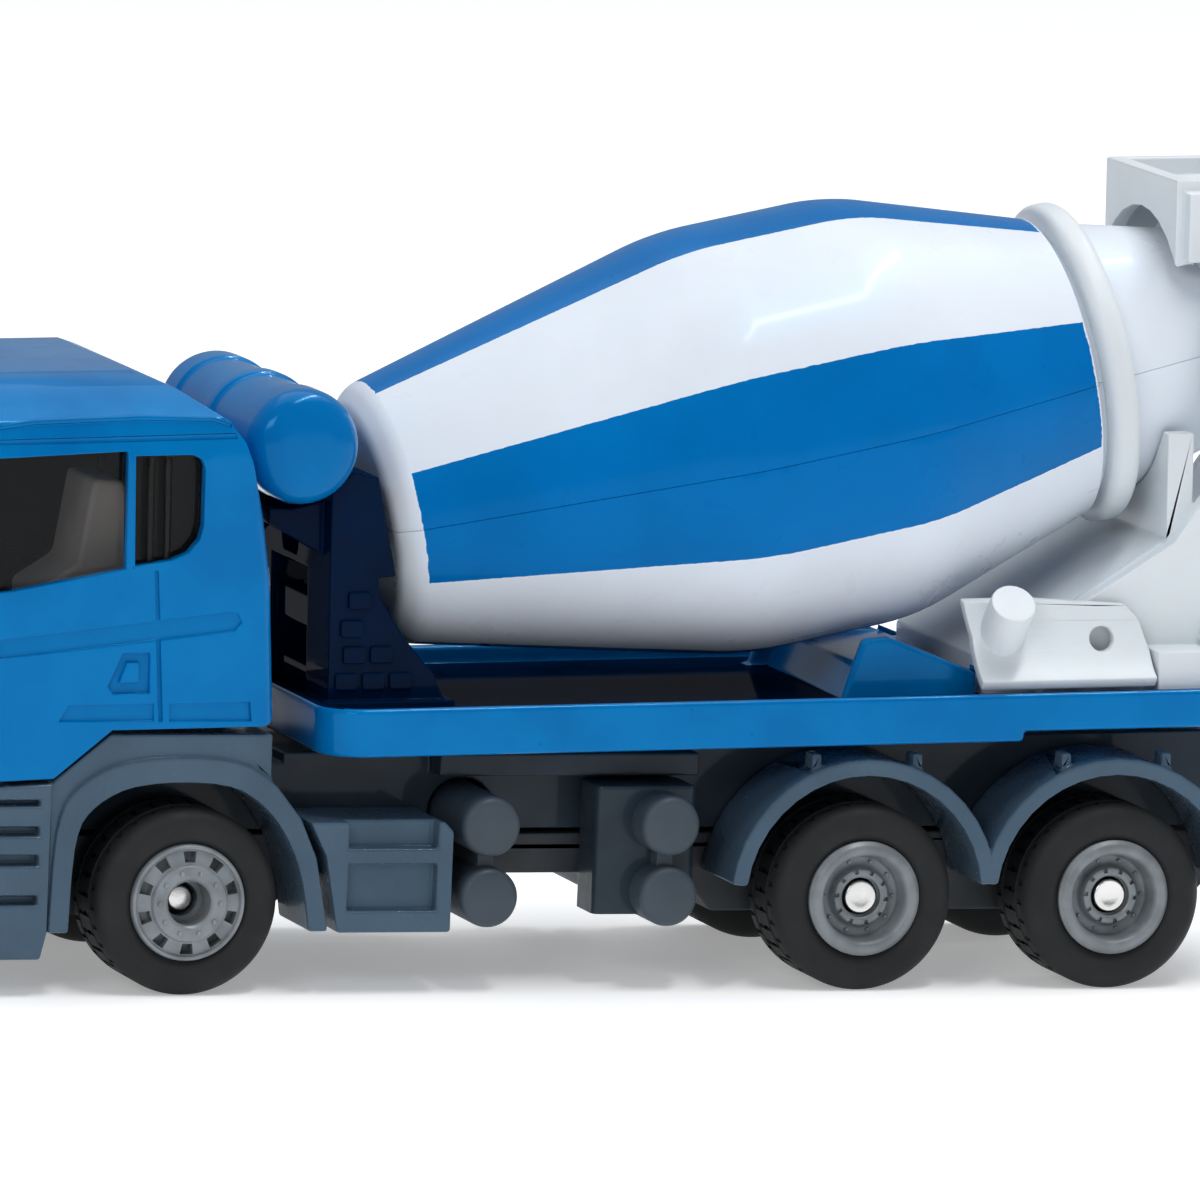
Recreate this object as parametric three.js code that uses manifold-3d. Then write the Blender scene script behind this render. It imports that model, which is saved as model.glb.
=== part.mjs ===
// Toy cement mixer, about 1:87. Millimetres, +Z up, the front of the truck toward -X, its left side at -Y.
// Chassis pieces are drawn with the front axle at x = 0 and the ground at z = 0. The body above the chassis
// sits on it with a slight nose-down rake, so its pieces are drawn level inside a group that is raked.
import * as THREE from 'three';
import { mergeVertices } from 'three/addons/utils/BufferGeometryUtils.js';
import Module from 'manifold-3d';

const wasm = await Module();
wasm.setup();

// ---- driving dimensions -------------------------------------------------------------------------------------

const FRONT_END = -17.0;                           // the bumper's face
const REAR_END = 83.0;
const GAP = 0.3;                                   // clearance between neighbouring pieces
const LEFT = -1;
const RIGHT = 1;

const TYRE = { radius: 6.0, width: 6.5, face: 14.0 };   // face: from the middle plane to the outer sidewall
const AXLES = {
  front_axle: { x: 0, radius: 0.8, end: 12.0 },
  rear_axle_1: { x: 45.1, radius: 1.05, end: 13.2 },
  rear_axle_2: { x: 62.0, radius: 1.05, end: 13.2 },
};
const AXLE_Z = TYRE.radius;
const BETWEEN_TYRES = TYRE.face - TYRE.width - 0.5;     // half width of what stands between the wheels
const ARCH_RADIUS = { inner: 7.9, outer: 9.0 };
const BODY_SIDE = 14.0;

const RAKE = THREE.MathUtils.degToRad(1.2);
const RAKE_PIVOT_Z = 14.0;

const CAB = { halfWidth: 13.8, wall: 0.9 };
const DECK = { front: 8.8, rear: 74.8, top: 18.05, floor: 16.9, wall: 0.9, corner: 3.0 };
const TANK = { x: 8.0, z: 34.4, radius: 3.7, halfLength: 11.5 };

const DRUM = { x: 15.0, z: 28.4, tilt: THREE.MathUtils.degToRad(10.9) };
const COLLAR = { start: 47.5, end: 49.4, radius: 10.5 };
const DRUM_GROOVE = 9.0;                                // the collar sits in this groove round the shells

const CHEEK = { inner: 8.7, outer: 10.0, rear: 73.5 };
const HOPPER = { front: 67.4, rear: 81.5, halfWidth: 6.9, top: 50.2, wall: 0.9 };
const CHUTE = { x: 76.6, z: 28.2, tilt: THREE.MathUtils.degToRad(32), radius: 3.6, bore: 2.8, inner: -4.4 };

// ---- materials ----------------------------------------------------------------------------------------------

const finish = (color, roughness, metalness = 0) => new THREE.MeshStandardMaterial({ color, roughness, metalness });
const MATERIALS = {
  bluePaint: () => finish(0x0a6fb4, 0.25),
  greyPaint: () => finish(0x56636e, 0.3),
  greyPlastic: () => finish(0x6a7179, 0.5),
  whitePlastic: () => finish(0xe4e9ee, 0.4),
  darkPlate: () => finish(0x2a3036, 0.5),
  rubber: () => finish(0x242528, 0.8),
  rimPlastic: () => finish(0x858c8f, 0.45),
  steel: () => finish(0xc9c9cb, 0.25, 1),
  tintedGlass: () => finish(0x10151a, 0.1),
  clearLens: () => finish(0xcfd8de, 0.1),
  seatPlastic: () => finish(0x4a4745, 0.7),
};

// ---- shapes -------------------------------------------------------------------------------------------------

function asSolid(geometry) {
  const plain = geometry.clone();
  plain.deleteAttribute('normal');
  plain.deleteAttribute('uv');
  const merged = mergeVertices(plain);
  const triangles = [];
  for (let i = 0; i < merged.index.count; i += 3) {
    const [a, b, c] = [0, 1, 2].map((k) => merged.index.getX(i + k));
    if (a !== b && b !== c && c !== a) triangles.push(a, b, c);
  }
  return new wasm.Manifold(new wasm.Mesh({
    numProp: 3,
    vertProperties: new Float32Array(merged.attributes.position.array),
    triVerts: new Uint32Array(triangles),
  }));
}

function asGeometry(body) {
  const { vertProperties, triVerts } = body.getMesh();
  const geometry = new THREE.BufferGeometry();
  geometry.setAttribute('position', new THREE.BufferAttribute(vertProperties, 3));
  geometry.setIndex(new THREE.BufferAttribute(triVerts, 1));
  geometry.computeVertexNormals();
  return geometry;
}

const join = (...parts) => asGeometry(parts.map(asSolid).reduce((sum, next) => sum.add(next)));
const cut = (body, ...tools) => asGeometry(tools.map(asSolid).reduce((rest, tool) => rest.subtract(tool), asSolid(body)));
const common = (...parts) => asGeometry(parts.map(asSolid).reduce((sum, next) => sum.intersect(next)));

// An open outline with its corners cut twice over, its two ends kept.
function eased(points) {
  const between = (a, b, share) => [a[0] + (b[0] - a[0]) * share, a[1] + (b[1] - a[1]) * share];
  const once = (path) => [path[0], ...path.slice(1, -1).flatMap((point, i) =>
    [between(path[i], point, 0.75), between(point, path[i + 2], 0.25)]), path.at(-1)];
  return once(once(points));
}

const both = (halfWidth) => [-halfWidth, halfWidth];
const onSide = (side, inner, outer) => (side === LEFT ? [-outer, -inner] : [inner, outer]);
const outline = (points) => new THREE.Shape(points.map(([a, b]) => new THREE.Vector2(a, b)));

const box = ([x0, x1], [y0, y1], [z0, z1]) =>
  new THREE.BoxGeometry(x1 - x0, y1 - y0, z1 - z0).translate((x0 + x1) / 2, (y0 + y1) / 2, (z0 + z1) / 2);

function extruded(shape, depth) {
  const path = Array.isArray(shape) ? outline(shape) : shape;
  return new THREE.ExtrudeGeometry(path, { depth, bevelEnabled: false, curveSegments: 6 });
}

// A side view in (x, z) extruded across the truck, a front view in (y, z) along it, a plan in (x, y) upward.
const sidePrism = (shape, [y0, y1]) => extruded(shape, y1 - y0).rotateX(Math.PI / 2).translate(0, y1, 0);
const planPrism = (shape, [z0, z1]) => extruded(shape, z1 - z0).translate(0, 0, z0);
const frontPrism = (shape, [x0, x1]) => extruded(shape, x1 - x0).applyMatrix4(new THREE.Matrix4().makeBasis(
  new THREE.Vector3(0, 1, 0), new THREE.Vector3(0, 0, 1), new THREE.Vector3(1, 0, 0))).translate(x0, 0, 0);

// [radius, position] pairs turned about the Y axis, outer side first with rising positions.
const turned = (profile, segments) =>
  new THREE.LatheGeometry(profile.map(([r, s]) => new THREE.Vector2(r, s)), segments);
const rod = (radius, [from, to], segments = 20) =>
  turned([[0, from], [radius, from], [radius, to], [0, to]], segments);
const crossRod = (x, z, radius, span, segments = 20) => rod(radius, span, segments).translate(x, 0, z);
const uprightRod = (x, y, radius, span, segments = 16) =>
  rod(radius, span, segments).rotateX(Math.PI / 2).translate(x, y, 0);
const turnedAlongX = (profile, segments) => turned(profile, segments).rotateZ(-Math.PI / 2);

// A round cutter about the drum's axis, as seen in the raked body.
const drumBore = (radius, [from, to]) =>
  turnedAlongX([[0, from], [radius, from], [radius, to], [0, to]], 32).rotateY(-DRUM.tilt).translate(DRUM.x, 0, DRUM.z);

function piece(parent, name, geometry, material) {
  const mesh = new THREE.Mesh(geometry, MATERIALS[material]());
  mesh.name = name;
  parent.add(mesh);
  return mesh;
}

function group(parent, [x, y, z] = [0, 0, 0], turnY = 0) {
  const child = new THREE.Group();
  child.position.set(x, y, z);
  child.rotation.y = turnY;
  parent.add(child);
  return child;
}

// ---- chassis ------------------------------------------------------------------------------------------------

const DECK_UNDERSIDE = { wall: 14.95, spine: 14.75 };
const frameTop = (x) => RAKE_PIVOT_Z + 0.4 + x * Math.sin(RAKE);
const RIVETS = [{ x: 25.9, seat: 7.3, foot: 6.7 }, { x: 53.5, seat: 4.8, foot: 4.2 }];
const AIR_TANK = { radius: 1.93, upper: 10.7, lower: 6.15, front: 20.0, rear: 32.0 };

const tankBores = () => [AIR_TANK.front, AIR_TANK.rear].flatMap((x) => [AIR_TANK.upper, AIR_TANK.lower].map((z) =>
  crossRod(x, z, AIR_TANK.radius + GAP, both(16))));

function chassisFrame() {
  const sideView = [[-8.5, 9.6], [72, 9.6], [72, frameTop(72)], [8, frameTop(8)], [8, 13.9], [-8.5, 13.9]];
  const rails = sidePrism(sideView, both(BETWEEN_TYRES));
  const outrigger = box([17.8, 35.2], both(9.2), [13.3, frameTop(17.8)]);
  return cut(join(rails, outrigger), ...tankBores());
}

function basePlate() {
  const sideView = [[-7, 4.2], [7, 4.2], [10, 6.7], [35, 6.7], [37, 4.2], [69, 4.2], [71.5, 6.7], [71.5, 9.3], [-7, 9.3]];
  const bores = Object.values(AXLES).map(({ x, radius }) => crossRod(x, AXLE_Z, radius + GAP, both(8), 16));
  const rivetSeats = RIVETS.map(({ x, seat }) => uprightRod(x, 0, 1.8, [0, seat]));
  const rivetHoles = RIVETS.map(({ x }) => uprightRod(x, 0, 1.1, [0, 12]));
  const plate = sidePrism(sideView, both(BETWEEN_TYRES));
  return cut(plate, ...bores, ...rivetSeats, ...rivetHoles, ...tankBores());
}

// A rivet's head fills its seat in the base plate, and its stem ends just under the frame.
function baseRivet({ x, seat, foot }) {
  const profile = [[0, foot], [1.5, foot], [1.5, seat - GAP], [0.8, seat - GAP], [0.8, 9.3], [0, 9.3]];
  return turned(profile, 16).rotateX(Math.PI / 2).translate(x, 0, 0);
}

// The front module: its wheel wells lean in at the shoulders, and its steps climb in front of the wheel.
const WELL_EDGE = eased([[-7.8, 4.1], [-7.6, 10.4], [-6.3, 12.3], [-3.5, 13.64], [2.4, 13.64], [4.8, 12.2],
  [6.4, 10.2], [7.5, 7.5], [8.0, 4.1]]);
const MODULE_EDGE = [[9.3, 4.1], [8.4, 8.8], [7.3, 11.3], [5.3, 13.8], [5.3, 16.7], [-5.4, 16.7], [-9.3, 13.6],
  [-14.6, 13.3], [-14.6, 2.4], [-9.6, 2.4], [-9.2, 4.1]];
const STEP_GROOVES = [[12.2, 12.6], [10.3, 10.9], [8.4, 9.1], [5.9, 6.5]];
const ARCH_LIP = { share: 1.17, foot: 4.1, proud: 0.4 };

// The panel round an arch lies behind the arch's lip, which follows the wheel well a little larger.
function archPanel(side) {
  const { share, foot, proud } = ARCH_LIP;
  const lip = WELL_EDGE.map(([x, z]) => [x * share, foot + (z - foot) * share]);
  const lipPrism = sidePrism([[lip.at(-1)[0], foot - 2], ...[...lip].reverse(), [lip[0][0], foot - 2]], both(16));
  const panel = box([-9.2, 12], onSide(side, BODY_SIDE - proud, BODY_SIDE + 1), [foot - 1, 17.5]);
  return cut(panel, lipPrism);
}

function cabBase() {
  const sideOf = (side) => {
    const wheelHouse = sidePrism([...MODULE_EDGE, ...WELL_EDGE], onSide(side, BETWEEN_TYRES + GAP, BODY_SIDE));
    const grooves = STEP_GROOVES.map((span) => box([-16.5, -9.9], onSide(side, 12.9, 15), span));
    return cut(wheelHouse, archPanel(side), ...grooves);
  };
  const floor = box([-5.4, 5.3], both(8), [14.3, 16.4]);
  const frontWall = box([-14.6, -10], both(8), [3.2, 13.3]);
  return join(sideOf(LEFT), sideOf(RIGHT), floor, frontWall);
}

const LAMP = { inner: 7.4, outer: 11.4, low: 5.6, high: 8.0 };

function frontBumper() {
  const plan = new THREE.Shape();
  plan.moveTo(-14.9, -13.9);
  plan.lineTo(-14.9, 13.9);
  plan.absarc(FRONT_END + 2, 11.9, 2, Math.PI / 2, Math.PI, false);
  plan.absarc(FRONT_END + 2, -11.9, 2, Math.PI, Math.PI * 1.5, false);
  const seats = [LEFT, RIGHT].map((side) =>
    box([FRONT_END - 1, FRONT_END + 0.9], onSide(side, LAMP.inner, LAMP.outer), [LAMP.low, LAMP.high]));
  return cut(planPrism(plan, [2.8, 10.6]), ...seats);
}

const headlight = (side) => box([FRONT_END + 0.1, FRONT_END + 0.6],
  onSide(side, LAMP.inner + GAP, LAMP.outer - GAP), [LAMP.low + GAP, LAMP.high - GAP]);

function sideBox(side) {
  const sideView = [[9.9, 4.0], [17.4, 4.0], [17.4, 10.5], [16.8, 11.1], [7.9, 11.1], [9.0, 8.9]];
  const shell = sidePrism(sideView, onSide(side, 7.5, BODY_SIDE));
  const panel = box([10.5, 16.4], onSide(side, 13.1, 15), [5.4, 8.4]);
  const shelf = box([10.5, 16.4], onSide(side, 12.8, 15), [9.4, 12]);
  return cut(shell, panel, shelf);
}

function airTankPair(x) {
  const { radius, upper, lower } = AIR_TANK;
  const [end, shoulder] = [BODY_SIDE, BODY_SIDE - 0.3];
  const domed = (z) => turned([[0, -end], [radius - 0.3, -end], [radius, -shoulder],
    [radius, shoulder], [radius - 0.3, end], [0, end]], 20).translate(x, 0, z);
  const web = (side) => box([x - 0.6, x + 0.6], onSide(side, BETWEEN_TYRES + GAP, end - 1.2), [lower + 1, upper - 1]);
  return join(domed(upper), domed(lower), web(LEFT), web(RIGHT));
}

function rearAirTanks() {
  const housing = (side) => box([27.7, 34.4], onSide(side, BETWEEN_TYRES + GAP, 11.4), [4.7, 13.0]);
  return join(airTankPair(AIR_TANK.rear), housing(LEFT), housing(RIGHT));
}

// A fender's band is concentric with its wheel, and the two bands meet in a V between the wheels.
function rearFender(side) {
  const steps = 18;
  const arc = (wheelX, radius) => Array.from({ length: steps + 1 }, (_, k) => {
    const angle = THREE.MathUtils.degToRad(6 + (168 * k) / steps);
    return [wheelX + radius * Math.cos(angle), AXLE_Z + radius * Math.sin(angle)];
  });
  const depth = onSide(side, BETWEEN_TYRES + GAP, BODY_SIDE);
  const band = (wheelX) => sidePrism(
    [...arc(wheelX, ARCH_RADIUS.outer), ...arc(wheelX, ARCH_RADIUS.inner).reverse()], depth);
  const nub = (x) => box([x - 0.35, x + 0.35], onSide(side, BODY_SIDE - 2.2, BODY_SIDE - 0.6), [14.2, 15.3]);
  const bands = [AXLES.rear_axle_1.x, AXLES.rear_axle_2.x].flatMap((x) => [band(x), nub(x - 3.4), nub(x + 3.4)]);
  return join(...bands);
}

// ---- wheels -------------------------------------------------------------------------------------------------

// Profiles run from the wheel's inner face at 0 to the tyre's outer sidewall at its width.
const TYRE_PROFILE = [[4.0, 0], [5.4, 0], [6, 0.7], [6, 5.8], [5.4, 6.5], [4.0, 6.5], [4.0, 0]];
const FRONT_RIM = [[1.1, 1], [3.7, 1], [3.7, 6.2], [3.3, 6.6], [2.5, 6.9], [1.5, 6.9], [1.4, 4.6], [1.1, 4.6], [1.1, 1]];
const REAR_RIM = [[1.35, 1], [3.7, 1], [3.7, 6.4], [2.8, 6.6], [2.7, 5.0], [1.9, 4.9], [1.8, 5.7], [1.35, 5.7], [1.35, 1]];

function wheelSet(parent, name) {
  const { x, radius, end } = AXLES[name];
  const set = group(parent, [x, 0, AXLE_Z]);
  const rim = name === 'front_axle' ? FRONT_RIM : REAR_RIM;
  piece(set, `${name}_shaft`, rod(radius, both(end), 16), 'steel');
  for (const [side, label] of [[LEFT, 'left'], [RIGHT, 'right']]) {
    const place = (profile, segments) => {
      const wheel = turned(profile, segments).translate(0, TYRE.face - TYRE.width, 0);
      return side === RIGHT ? wheel : wheel.rotateZ(Math.PI);
    };
    piece(set, `${name}_rim_${label}`, place(rim, 20), 'rimPlastic');
    piece(set, `${name}_tyre_${label}`, place(TYRE_PROFILE, 32), 'rubber');
  }
}

// ---- cab ----------------------------------------------------------------------------------------------------

const CAB_SIDE_VIEW = [[-16.2, 13.9], [-9.1, 14.1], [-5.3, 17.1], [5.4, 17.1], [5.05, 26.5], [4.5, 30.6], [3.9, 33.2],
  [3.2, 35.2], [2.1, 36.6], [-0.9, 38.5], [-3, 39.3], [-12.2, 39.3], [-14.2, 37.6], [-14.7, 35.6], [-16.4, 25.6]];
const CAB_RIGHT_PROFILE = [[13.8, 13], [13.8, 34], [13.5, 36.8], [11.2, 38.65], [8, 39.4]];
const CAB_FRONT_VIEW = [...CAB_RIGHT_PROFILE, ...CAB_RIGHT_PROFILE.map(([y, z]) => [-y, z]).reverse()];

// The outline moved inward by a wall's thickness along its corners' bisectors.
function inset(points, distance) {
  const edgeNormal = (a, b) => {
    const length = Math.hypot(b[0] - a[0], b[1] - a[1]);
    return [-(b[1] - a[1]) / length, (b[0] - a[0]) / length];
  };
  return points.map((point, i) => {
    const before = edgeNormal(points.at(i - 1), point);
    const after = edgeNormal(point, points[(i + 1) % points.length]);
    const share = 1 + before[0] * after[0] + before[1] * after[1];
    return [point[0] + (distance * (before[0] + after[0])) / share, point[1] + (distance * (before[1] + after[1])) / share];
  });
}

const cabBlock = (depth) => common(
  sidePrism(inset(CAB_SIDE_VIEW, depth), both(15)), frontPrism(inset(CAB_FRONT_VIEW, depth), [-18, 7]));
const openBelow = (depth) => box([-16.4 + depth + 0.2, 5.2 - depth], both(CAB.halfWidth - depth), [10, 20]);

const FRONT_SIDE_WINDOW = [[-13.6, 25.9], [-11.9, 26.1], [-6.6, 27], [-4.6, 27.35], [-4.55, 34.8], [-13.0, 34.5]];
const REAR_SIDE_WINDOW = [[-4.0, 27.5], [-1.6, 27.85], [-0.5, 28.3], [0.2, 29.1], [0.45, 30], [0.5, 33.6], [0.3, 34.2],
  [-0.3, 34.5], [-4.05, 34.5]];
const WINDSCREEN = [[-12, 26.2], [12, 26.2], [11.6, 34.9], [-11.6, 34.9]];

// Side views of what is sunk into each cab side: the waist line, the door's seam and sill grooves, the roof band.
const WAIST_LINE = [[-12.8, 21.8], [2.6, 23.25], [3.1, 23.8], [2.8, 24.4], [2.2, 24.45], [-12.8, 23.0]];
const DOOR_SEAM = [[-2.7, 27.2], [-2.26, 17.6], [-2.02, 17.6], [-2.46, 27.2]];
const SILL_GROOVES = [[[-8.8, 17.75], [-2.6, 17.65], [-2.6, 18.75], [-8.2, 18.75]],
  [[-1.6, 17.6], [3.8, 17.5], [3.7, 18.7], [-1.6, 18.7]]];
const ROOF_BAND = [[-13.6, 35.35], [2.6, 35.5], [2.5, 35.8], [-13.6, 35.65]];
const HANDLE_RECESS = [[-5.66, 19.95], [-5.3, 19.4], [-2.9, 19.4], [-2.9, 22], [-4.7, 22]];
const HANDLE_BAR = [[-4.9, 20.1], [-3.6, 20.1], [-3.6, 21.4], [-4.4, 21.4]];
const GUTTER = [[-13, 36.3], [-10.6, 36.6], [-3.7, 36.75], [1, 36.6], [2.2, 36.2], [2.2, 36.4], [1, 36.85], [-3.7, 37.05],
  [-10.6, 36.9], [-13, 36.55]];
const GUTTER_FACE = 13.62;
const SINK = { line: 0.25, recess: 0.45 };

const cabSideCuts = (side) => [
  ...[WAIST_LINE, DOOR_SEAM, ...SILL_GROOVES, ROOF_BAND].map((view) =>
    sidePrism(view, onSide(side, CAB.halfWidth - SINK.line, CAB.halfWidth + 1))),
  cut(sidePrism(HANDLE_RECESS, onSide(side, CAB.halfWidth - SINK.recess, CAB.halfWidth + 1)),
    sidePrism(HANDLE_BAR, onSide(side, 0, CAB.halfWidth - 0.1))),
];

function cabShell() {
  const hollow = join(cabBlock(CAB.wall), openBelow(CAB.wall));
  const windows = [FRONT_SIDE_WINDOW, REAR_SIDE_WINDOW].map((view) => sidePrism(view, both(16)));
  const gutters = [LEFT, RIGHT].map((side) => sidePrism(GUTTER, onSide(side, 13.0, GUTTER_FACE)));
  const casting = join(cut(cabBlock(0), hollow), ...gutters);
  return cut(casting, ...windows, frontPrism(WINDSCREEN, [-18, -12]), ...cabSideCuts(LEFT), ...cabSideCuts(RIGHT));
}

function cabGlazing() {
  const [outer, inner] = [CAB.wall + GAP, CAB.wall + GAP + 0.5];
  const ring = cut(cabBlock(outer), cabBlock(inner));
  return common(ring, box([-18, 2.2], both(15), [25.2, 35.4]));
}

function cabInterior() {
  const floor = box([-14, 2.8], both(11.8), [18.3, 19.2]);
  const dash = sidePrism([[-14.3, 18.3], [-11.4, 18.3], [-11.4, 24.0], [-14.3, 24.9]], both(11.5));
  const seatView = [[-9.2, 19], [-2.6, 19], [-2.9, 27], [-3.6, 32.4], [-5.6, 32.6], [-6.6, 27.2], [-9.2, 25.6]];
  return join(floor, dash, ...[LEFT, RIGHT].map((side) => sidePrism(seatView, onSide(side, 3.4, 9.8))));
}

const frontGrille = () => box([-16.82, -16.6], both(8.5), [16.5, 22.5]);

// ---- deck ---------------------------------------------------------------------------------------------------

function deckPlan(margin) {
  const [front, side, corner] = [DECK.front + margin, BODY_SIDE - margin, DECK.corner - margin];
  const plan = new THREE.Shape();
  plan.moveTo(DECK.rear - margin, -side);
  plan.lineTo(DECK.rear - margin, side);
  plan.absarc(front + corner, side - corner, corner, Math.PI / 2, Math.PI, false);
  plan.absarc(front + corner, corner - side, corner, Math.PI, Math.PI * 1.5, false);
  return plan;
}

function deck() {
  const walls = planPrism(deckPlan(0), [DECK_UNDERSIDE.wall, DECK.top]);
  const bed = planPrism(deckPlan(DECK.wall), [DECK.floor, DECK.top + 1]);
  const below = planPrism(deckPlan(DECK.wall), [DECK_UNDERSIDE.wall - 1, DECK.floor - 0.9]);
  const wheelRelief = box([55.5, 76], both(15), [14, 15.6]);
  const spine = box([9.7, 73.6], both(7), [DECK_UNDERSIDE.spine, DECK.floor - 0.5]);
  const step = sidePrism([[45.5, 16.5], [53.6, 16.5], [53.6, 19.0], [48, 19.3], [46.6, 19.1]], both(9.2));
  const wing = (side) => sidePrism(
    [[44.2, 16.5], [53.6, 16.5], [53.6, 18.9], [47.6, 21.3], [45.9, 21.2]], onSide(side, 8.9, 9.8));
  return join(cut(walls, bed, below, wheelRelief), spine, step, wing(LEFT), wing(RIGHT));
}

function drumPedestal() {
  const head = sidePrism([[10.3, 25.8], [14.7, 25.8], [13.4, 32.2], [11.7, 32.6], [10.3, 31.2]], both(9));
  const legs = [LEFT, RIGHT].flatMap((side) => [
    box([10.3, 13.6], onSide(side, 4, 9), [DECK.floor + GAP, 26.2]),
    box([9.9, 18.6], onSide(side, 4, 9.6), [DECK.floor + GAP, DECK.floor + 1.0]),
    sidePrism([[13.4, 17.2], [18.4, 17.2], [17.2, 19.6], [15.2, 22.0], [13.4, 25.0]], onSide(side, 7.6, 9)),
    sidePrism([[10.4, 27], [10.4, 30.6], [8.2, 30.1], [6.6, 30.2], [6.6, 29.2]], onSide(side, 5.5, 7.5)),
  ]);
  const ribs = [[17.2, 19.3], [21.8, 23.8]].map((span) => box([10.8, 12.4], both(4.2), span));
  return cut(join(head, ...legs, ...ribs), drumBore(1.8, [-5, 1]));
}

function waterTank() {
  const { radius, halfLength } = TANK;
  const half = [[0, halfLength], [2.4, halfLength], [3.45, halfLength - 0.5], [radius, halfLength - 1.3],
    [radius, 1], [radius + 0.2, 0.8]];
  const otherHalf = half.map(([r, y]) => [r, -y]);
  return turned([...otherHalf, ...half.reverse()], 28).translate(TANK.x, 0, TANK.z);
}

// ---- drum ---------------------------------------------------------------------------------------------------

const DRUM_OUTSIDE = [[0, 0], [7.3, 0], [8.2, 0.35], [8.5, 1.2], [13.9, 23], [13.9, 34.5], [9.8, 47.2],
  [DRUM_GROOVE, 47.2], [DRUM_GROOVE, 49.7], [7.2, 56.8], [8.0, 57.3], [8.0, 58.6], [7.7, 58.8]];
const DRUM_INSIDE = [[6.3, 58.8], [6.3, 56.6], [8.0, 49.8], [8.0, 46.9], [12.9, 34.2], [12.9, 23.2], [7.6, 1.6], [0, 1.0]];

function drumHalf(upper) {
  const shell = turnedAlongX([...DRUM_OUTSIDE, ...DRUM_INSIDE], 40);
  const span = upper ? [GAP / 2, 15] : [-15, -GAP / 2];
  return common(shell, box([-1, 60], both(15), span));
}

function drumCollar() {
  const { start, end, radius } = COLLAR;
  const bore = DRUM_GROOVE + GAP;
  return turnedAlongX([[bore, start], [radius - 0.2, start], [radius, start + 0.3], [radius, end - 0.3],
    [radius - 0.2, end], [bore, end], [bore, start]], 40);
}

const drumPin = () => turnedAlongX([[0, -2.8], [1.2, -2.8], [1.5, -2.5], [1.5, -GAP], [0, -GAP]], 20);

// ---- rear frame, hopper and chutes --------------------------------------------------------------------------

const CRADLE = { front: 66.6, rear: 68.4 };

function rearFrame() {
  const foot = DECK.floor + GAP;
  const tray = sidePrism([[54.3, foot], [54.3, 19.7], [CRADLE.front, 27.1], [CRADLE.rear, 27.1], [CRADLE.rear, foot]],
    both(CHEEK.inner));
  const cradle = cut(box([CRADLE.front, CRADLE.rear], both(CHEEK.inner + 0.1), [27, 34]), drumBore(8.7, [40, 65]));
  const cheekView = [[58, foot], [CHEEK.rear, foot], [CHEEK.rear, 44], [69.6, 44], [69.2, 30.5], [66.8, 27.1], [60, 22.9],
    [58, 20.6]];
  const sides = [LEFT, RIGHT].flatMap((side) => [
    sidePrism(cheekView, onSide(side, CHEEK.inner - 0.1, CHEEK.outer)),
    box([64.9, 72], onSide(side, 9.8, 12.8), [foot, 20.4]),
    crossRod(69.4, 21.2, 0.85, onSide(side, 9.8, 10.6)),
  ]);
  const ledge = box([68, 79], both(3.4), [DECK.top + GAP, 19.9]);
  const post = uprightRod(CHUTE.x, 0, 1.0, [19.5, 22.2]);
  return join(tray, cradle, ...sides, ledge, post);
}

function hopper() {
  const { front, rear, halfWidth, top, wall } = HOPPER;
  const frontPlate = cut(box([front, front + 1.2], both(halfWidth), [42, top]), drumBore(9.1, [40, 70]));
  const sideView = [[front, top], [front, 48.1], [73.4, 48.1], [74.2, 43.8], [80.2, 43.8], [rear, top]];
  const funnelView = [[-halfWidth, top + 1], [-halfWidth, 48], [-4.9, 43], [4.9, 43], [halfWidth, 48], [halfWidth, top + 1]];
  const block = common(sidePrism(sideView, both(halfWidth)), frontPrism(funnelView, [front, rear]));
  const cavityView = [[front + 1.2, top + 1], [front + 1.2, 49], [74.3, 49], [75.1, 43], [79.3, 43], [rear - wall, top + 1]];
  const cavity = common(sidePrism(cavityView, both(halfWidth)), frontPrism(inset(funnelView, wall), [front, rear]));
  const spoutTurn = (geometry) => geometry.rotateY(-THREE.MathUtils.degToRad(35)).translate(70.2, 0, 40.0);
  const halfPipe = common(turnedAlongX([[0, 0], [4, 0], [4, 8.6], [0, 8.6]], 28), box([-1, 10], both(5), [-5, 0]));
  const channel = turnedAlongX([[0, -1], [3.2, -1], [3.2, 8.0], [0, 8.0]], 28);
  const ears = [LEFT, RIGHT].map((side) =>
    join(box([69.8, CHEEK.rear], onSide(side, 7.1, CHEEK.outer), [44.3, 45.4]),
      box([68.0, CHEEK.rear], onSide(side, halfWidth - 0.6, 7.8), [44.9, 49.4])));
  return cut(join(frontPlate, block, spoutTurn(halfPipe), ...ears), cavity, spoutTurn(channel));
}

const chuteTurn = (geometry) => geometry.rotateY(CHUTE.tilt).translate(0, 0, CHUTE.z);

function chuteBracket() {
  const hub = cut(uprightRod(0, 0, 2.2, [20.2, 24.5], 20), uprightRod(0, 0, 1.0 + GAP, [19, 22.5], 20));
  const saddle = box([-1.5, 1.5], both(4.8), [23.2, 28.8]);
  const seat = chuteTurn(turnedAlongX([[0, -9], [CHUTE.radius + GAP, -9], [CHUTE.radius + GAP, 9], [0, 9]], 28));
  return cut(join(hub, saddle), seat);
}

function chuteMain() {
  const { radius, bore, inner, tilt } = CHUTE;
  const length = (REAR_END - CHUTE.x) / Math.cos(tilt);
  const trough = turnedAlongX([[0, inner], [radius, inner], [radius, length], [0, length]], 28);
  const channel = turnedAlongX([[0, inner - 1], [bore, inner - 1], [bore, length + 1], [0, length + 1]], 28);
  return chuteTurn(cut(common(trough, box([-10, 20], both(5), [-5, 0.6])), channel));
}

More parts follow.
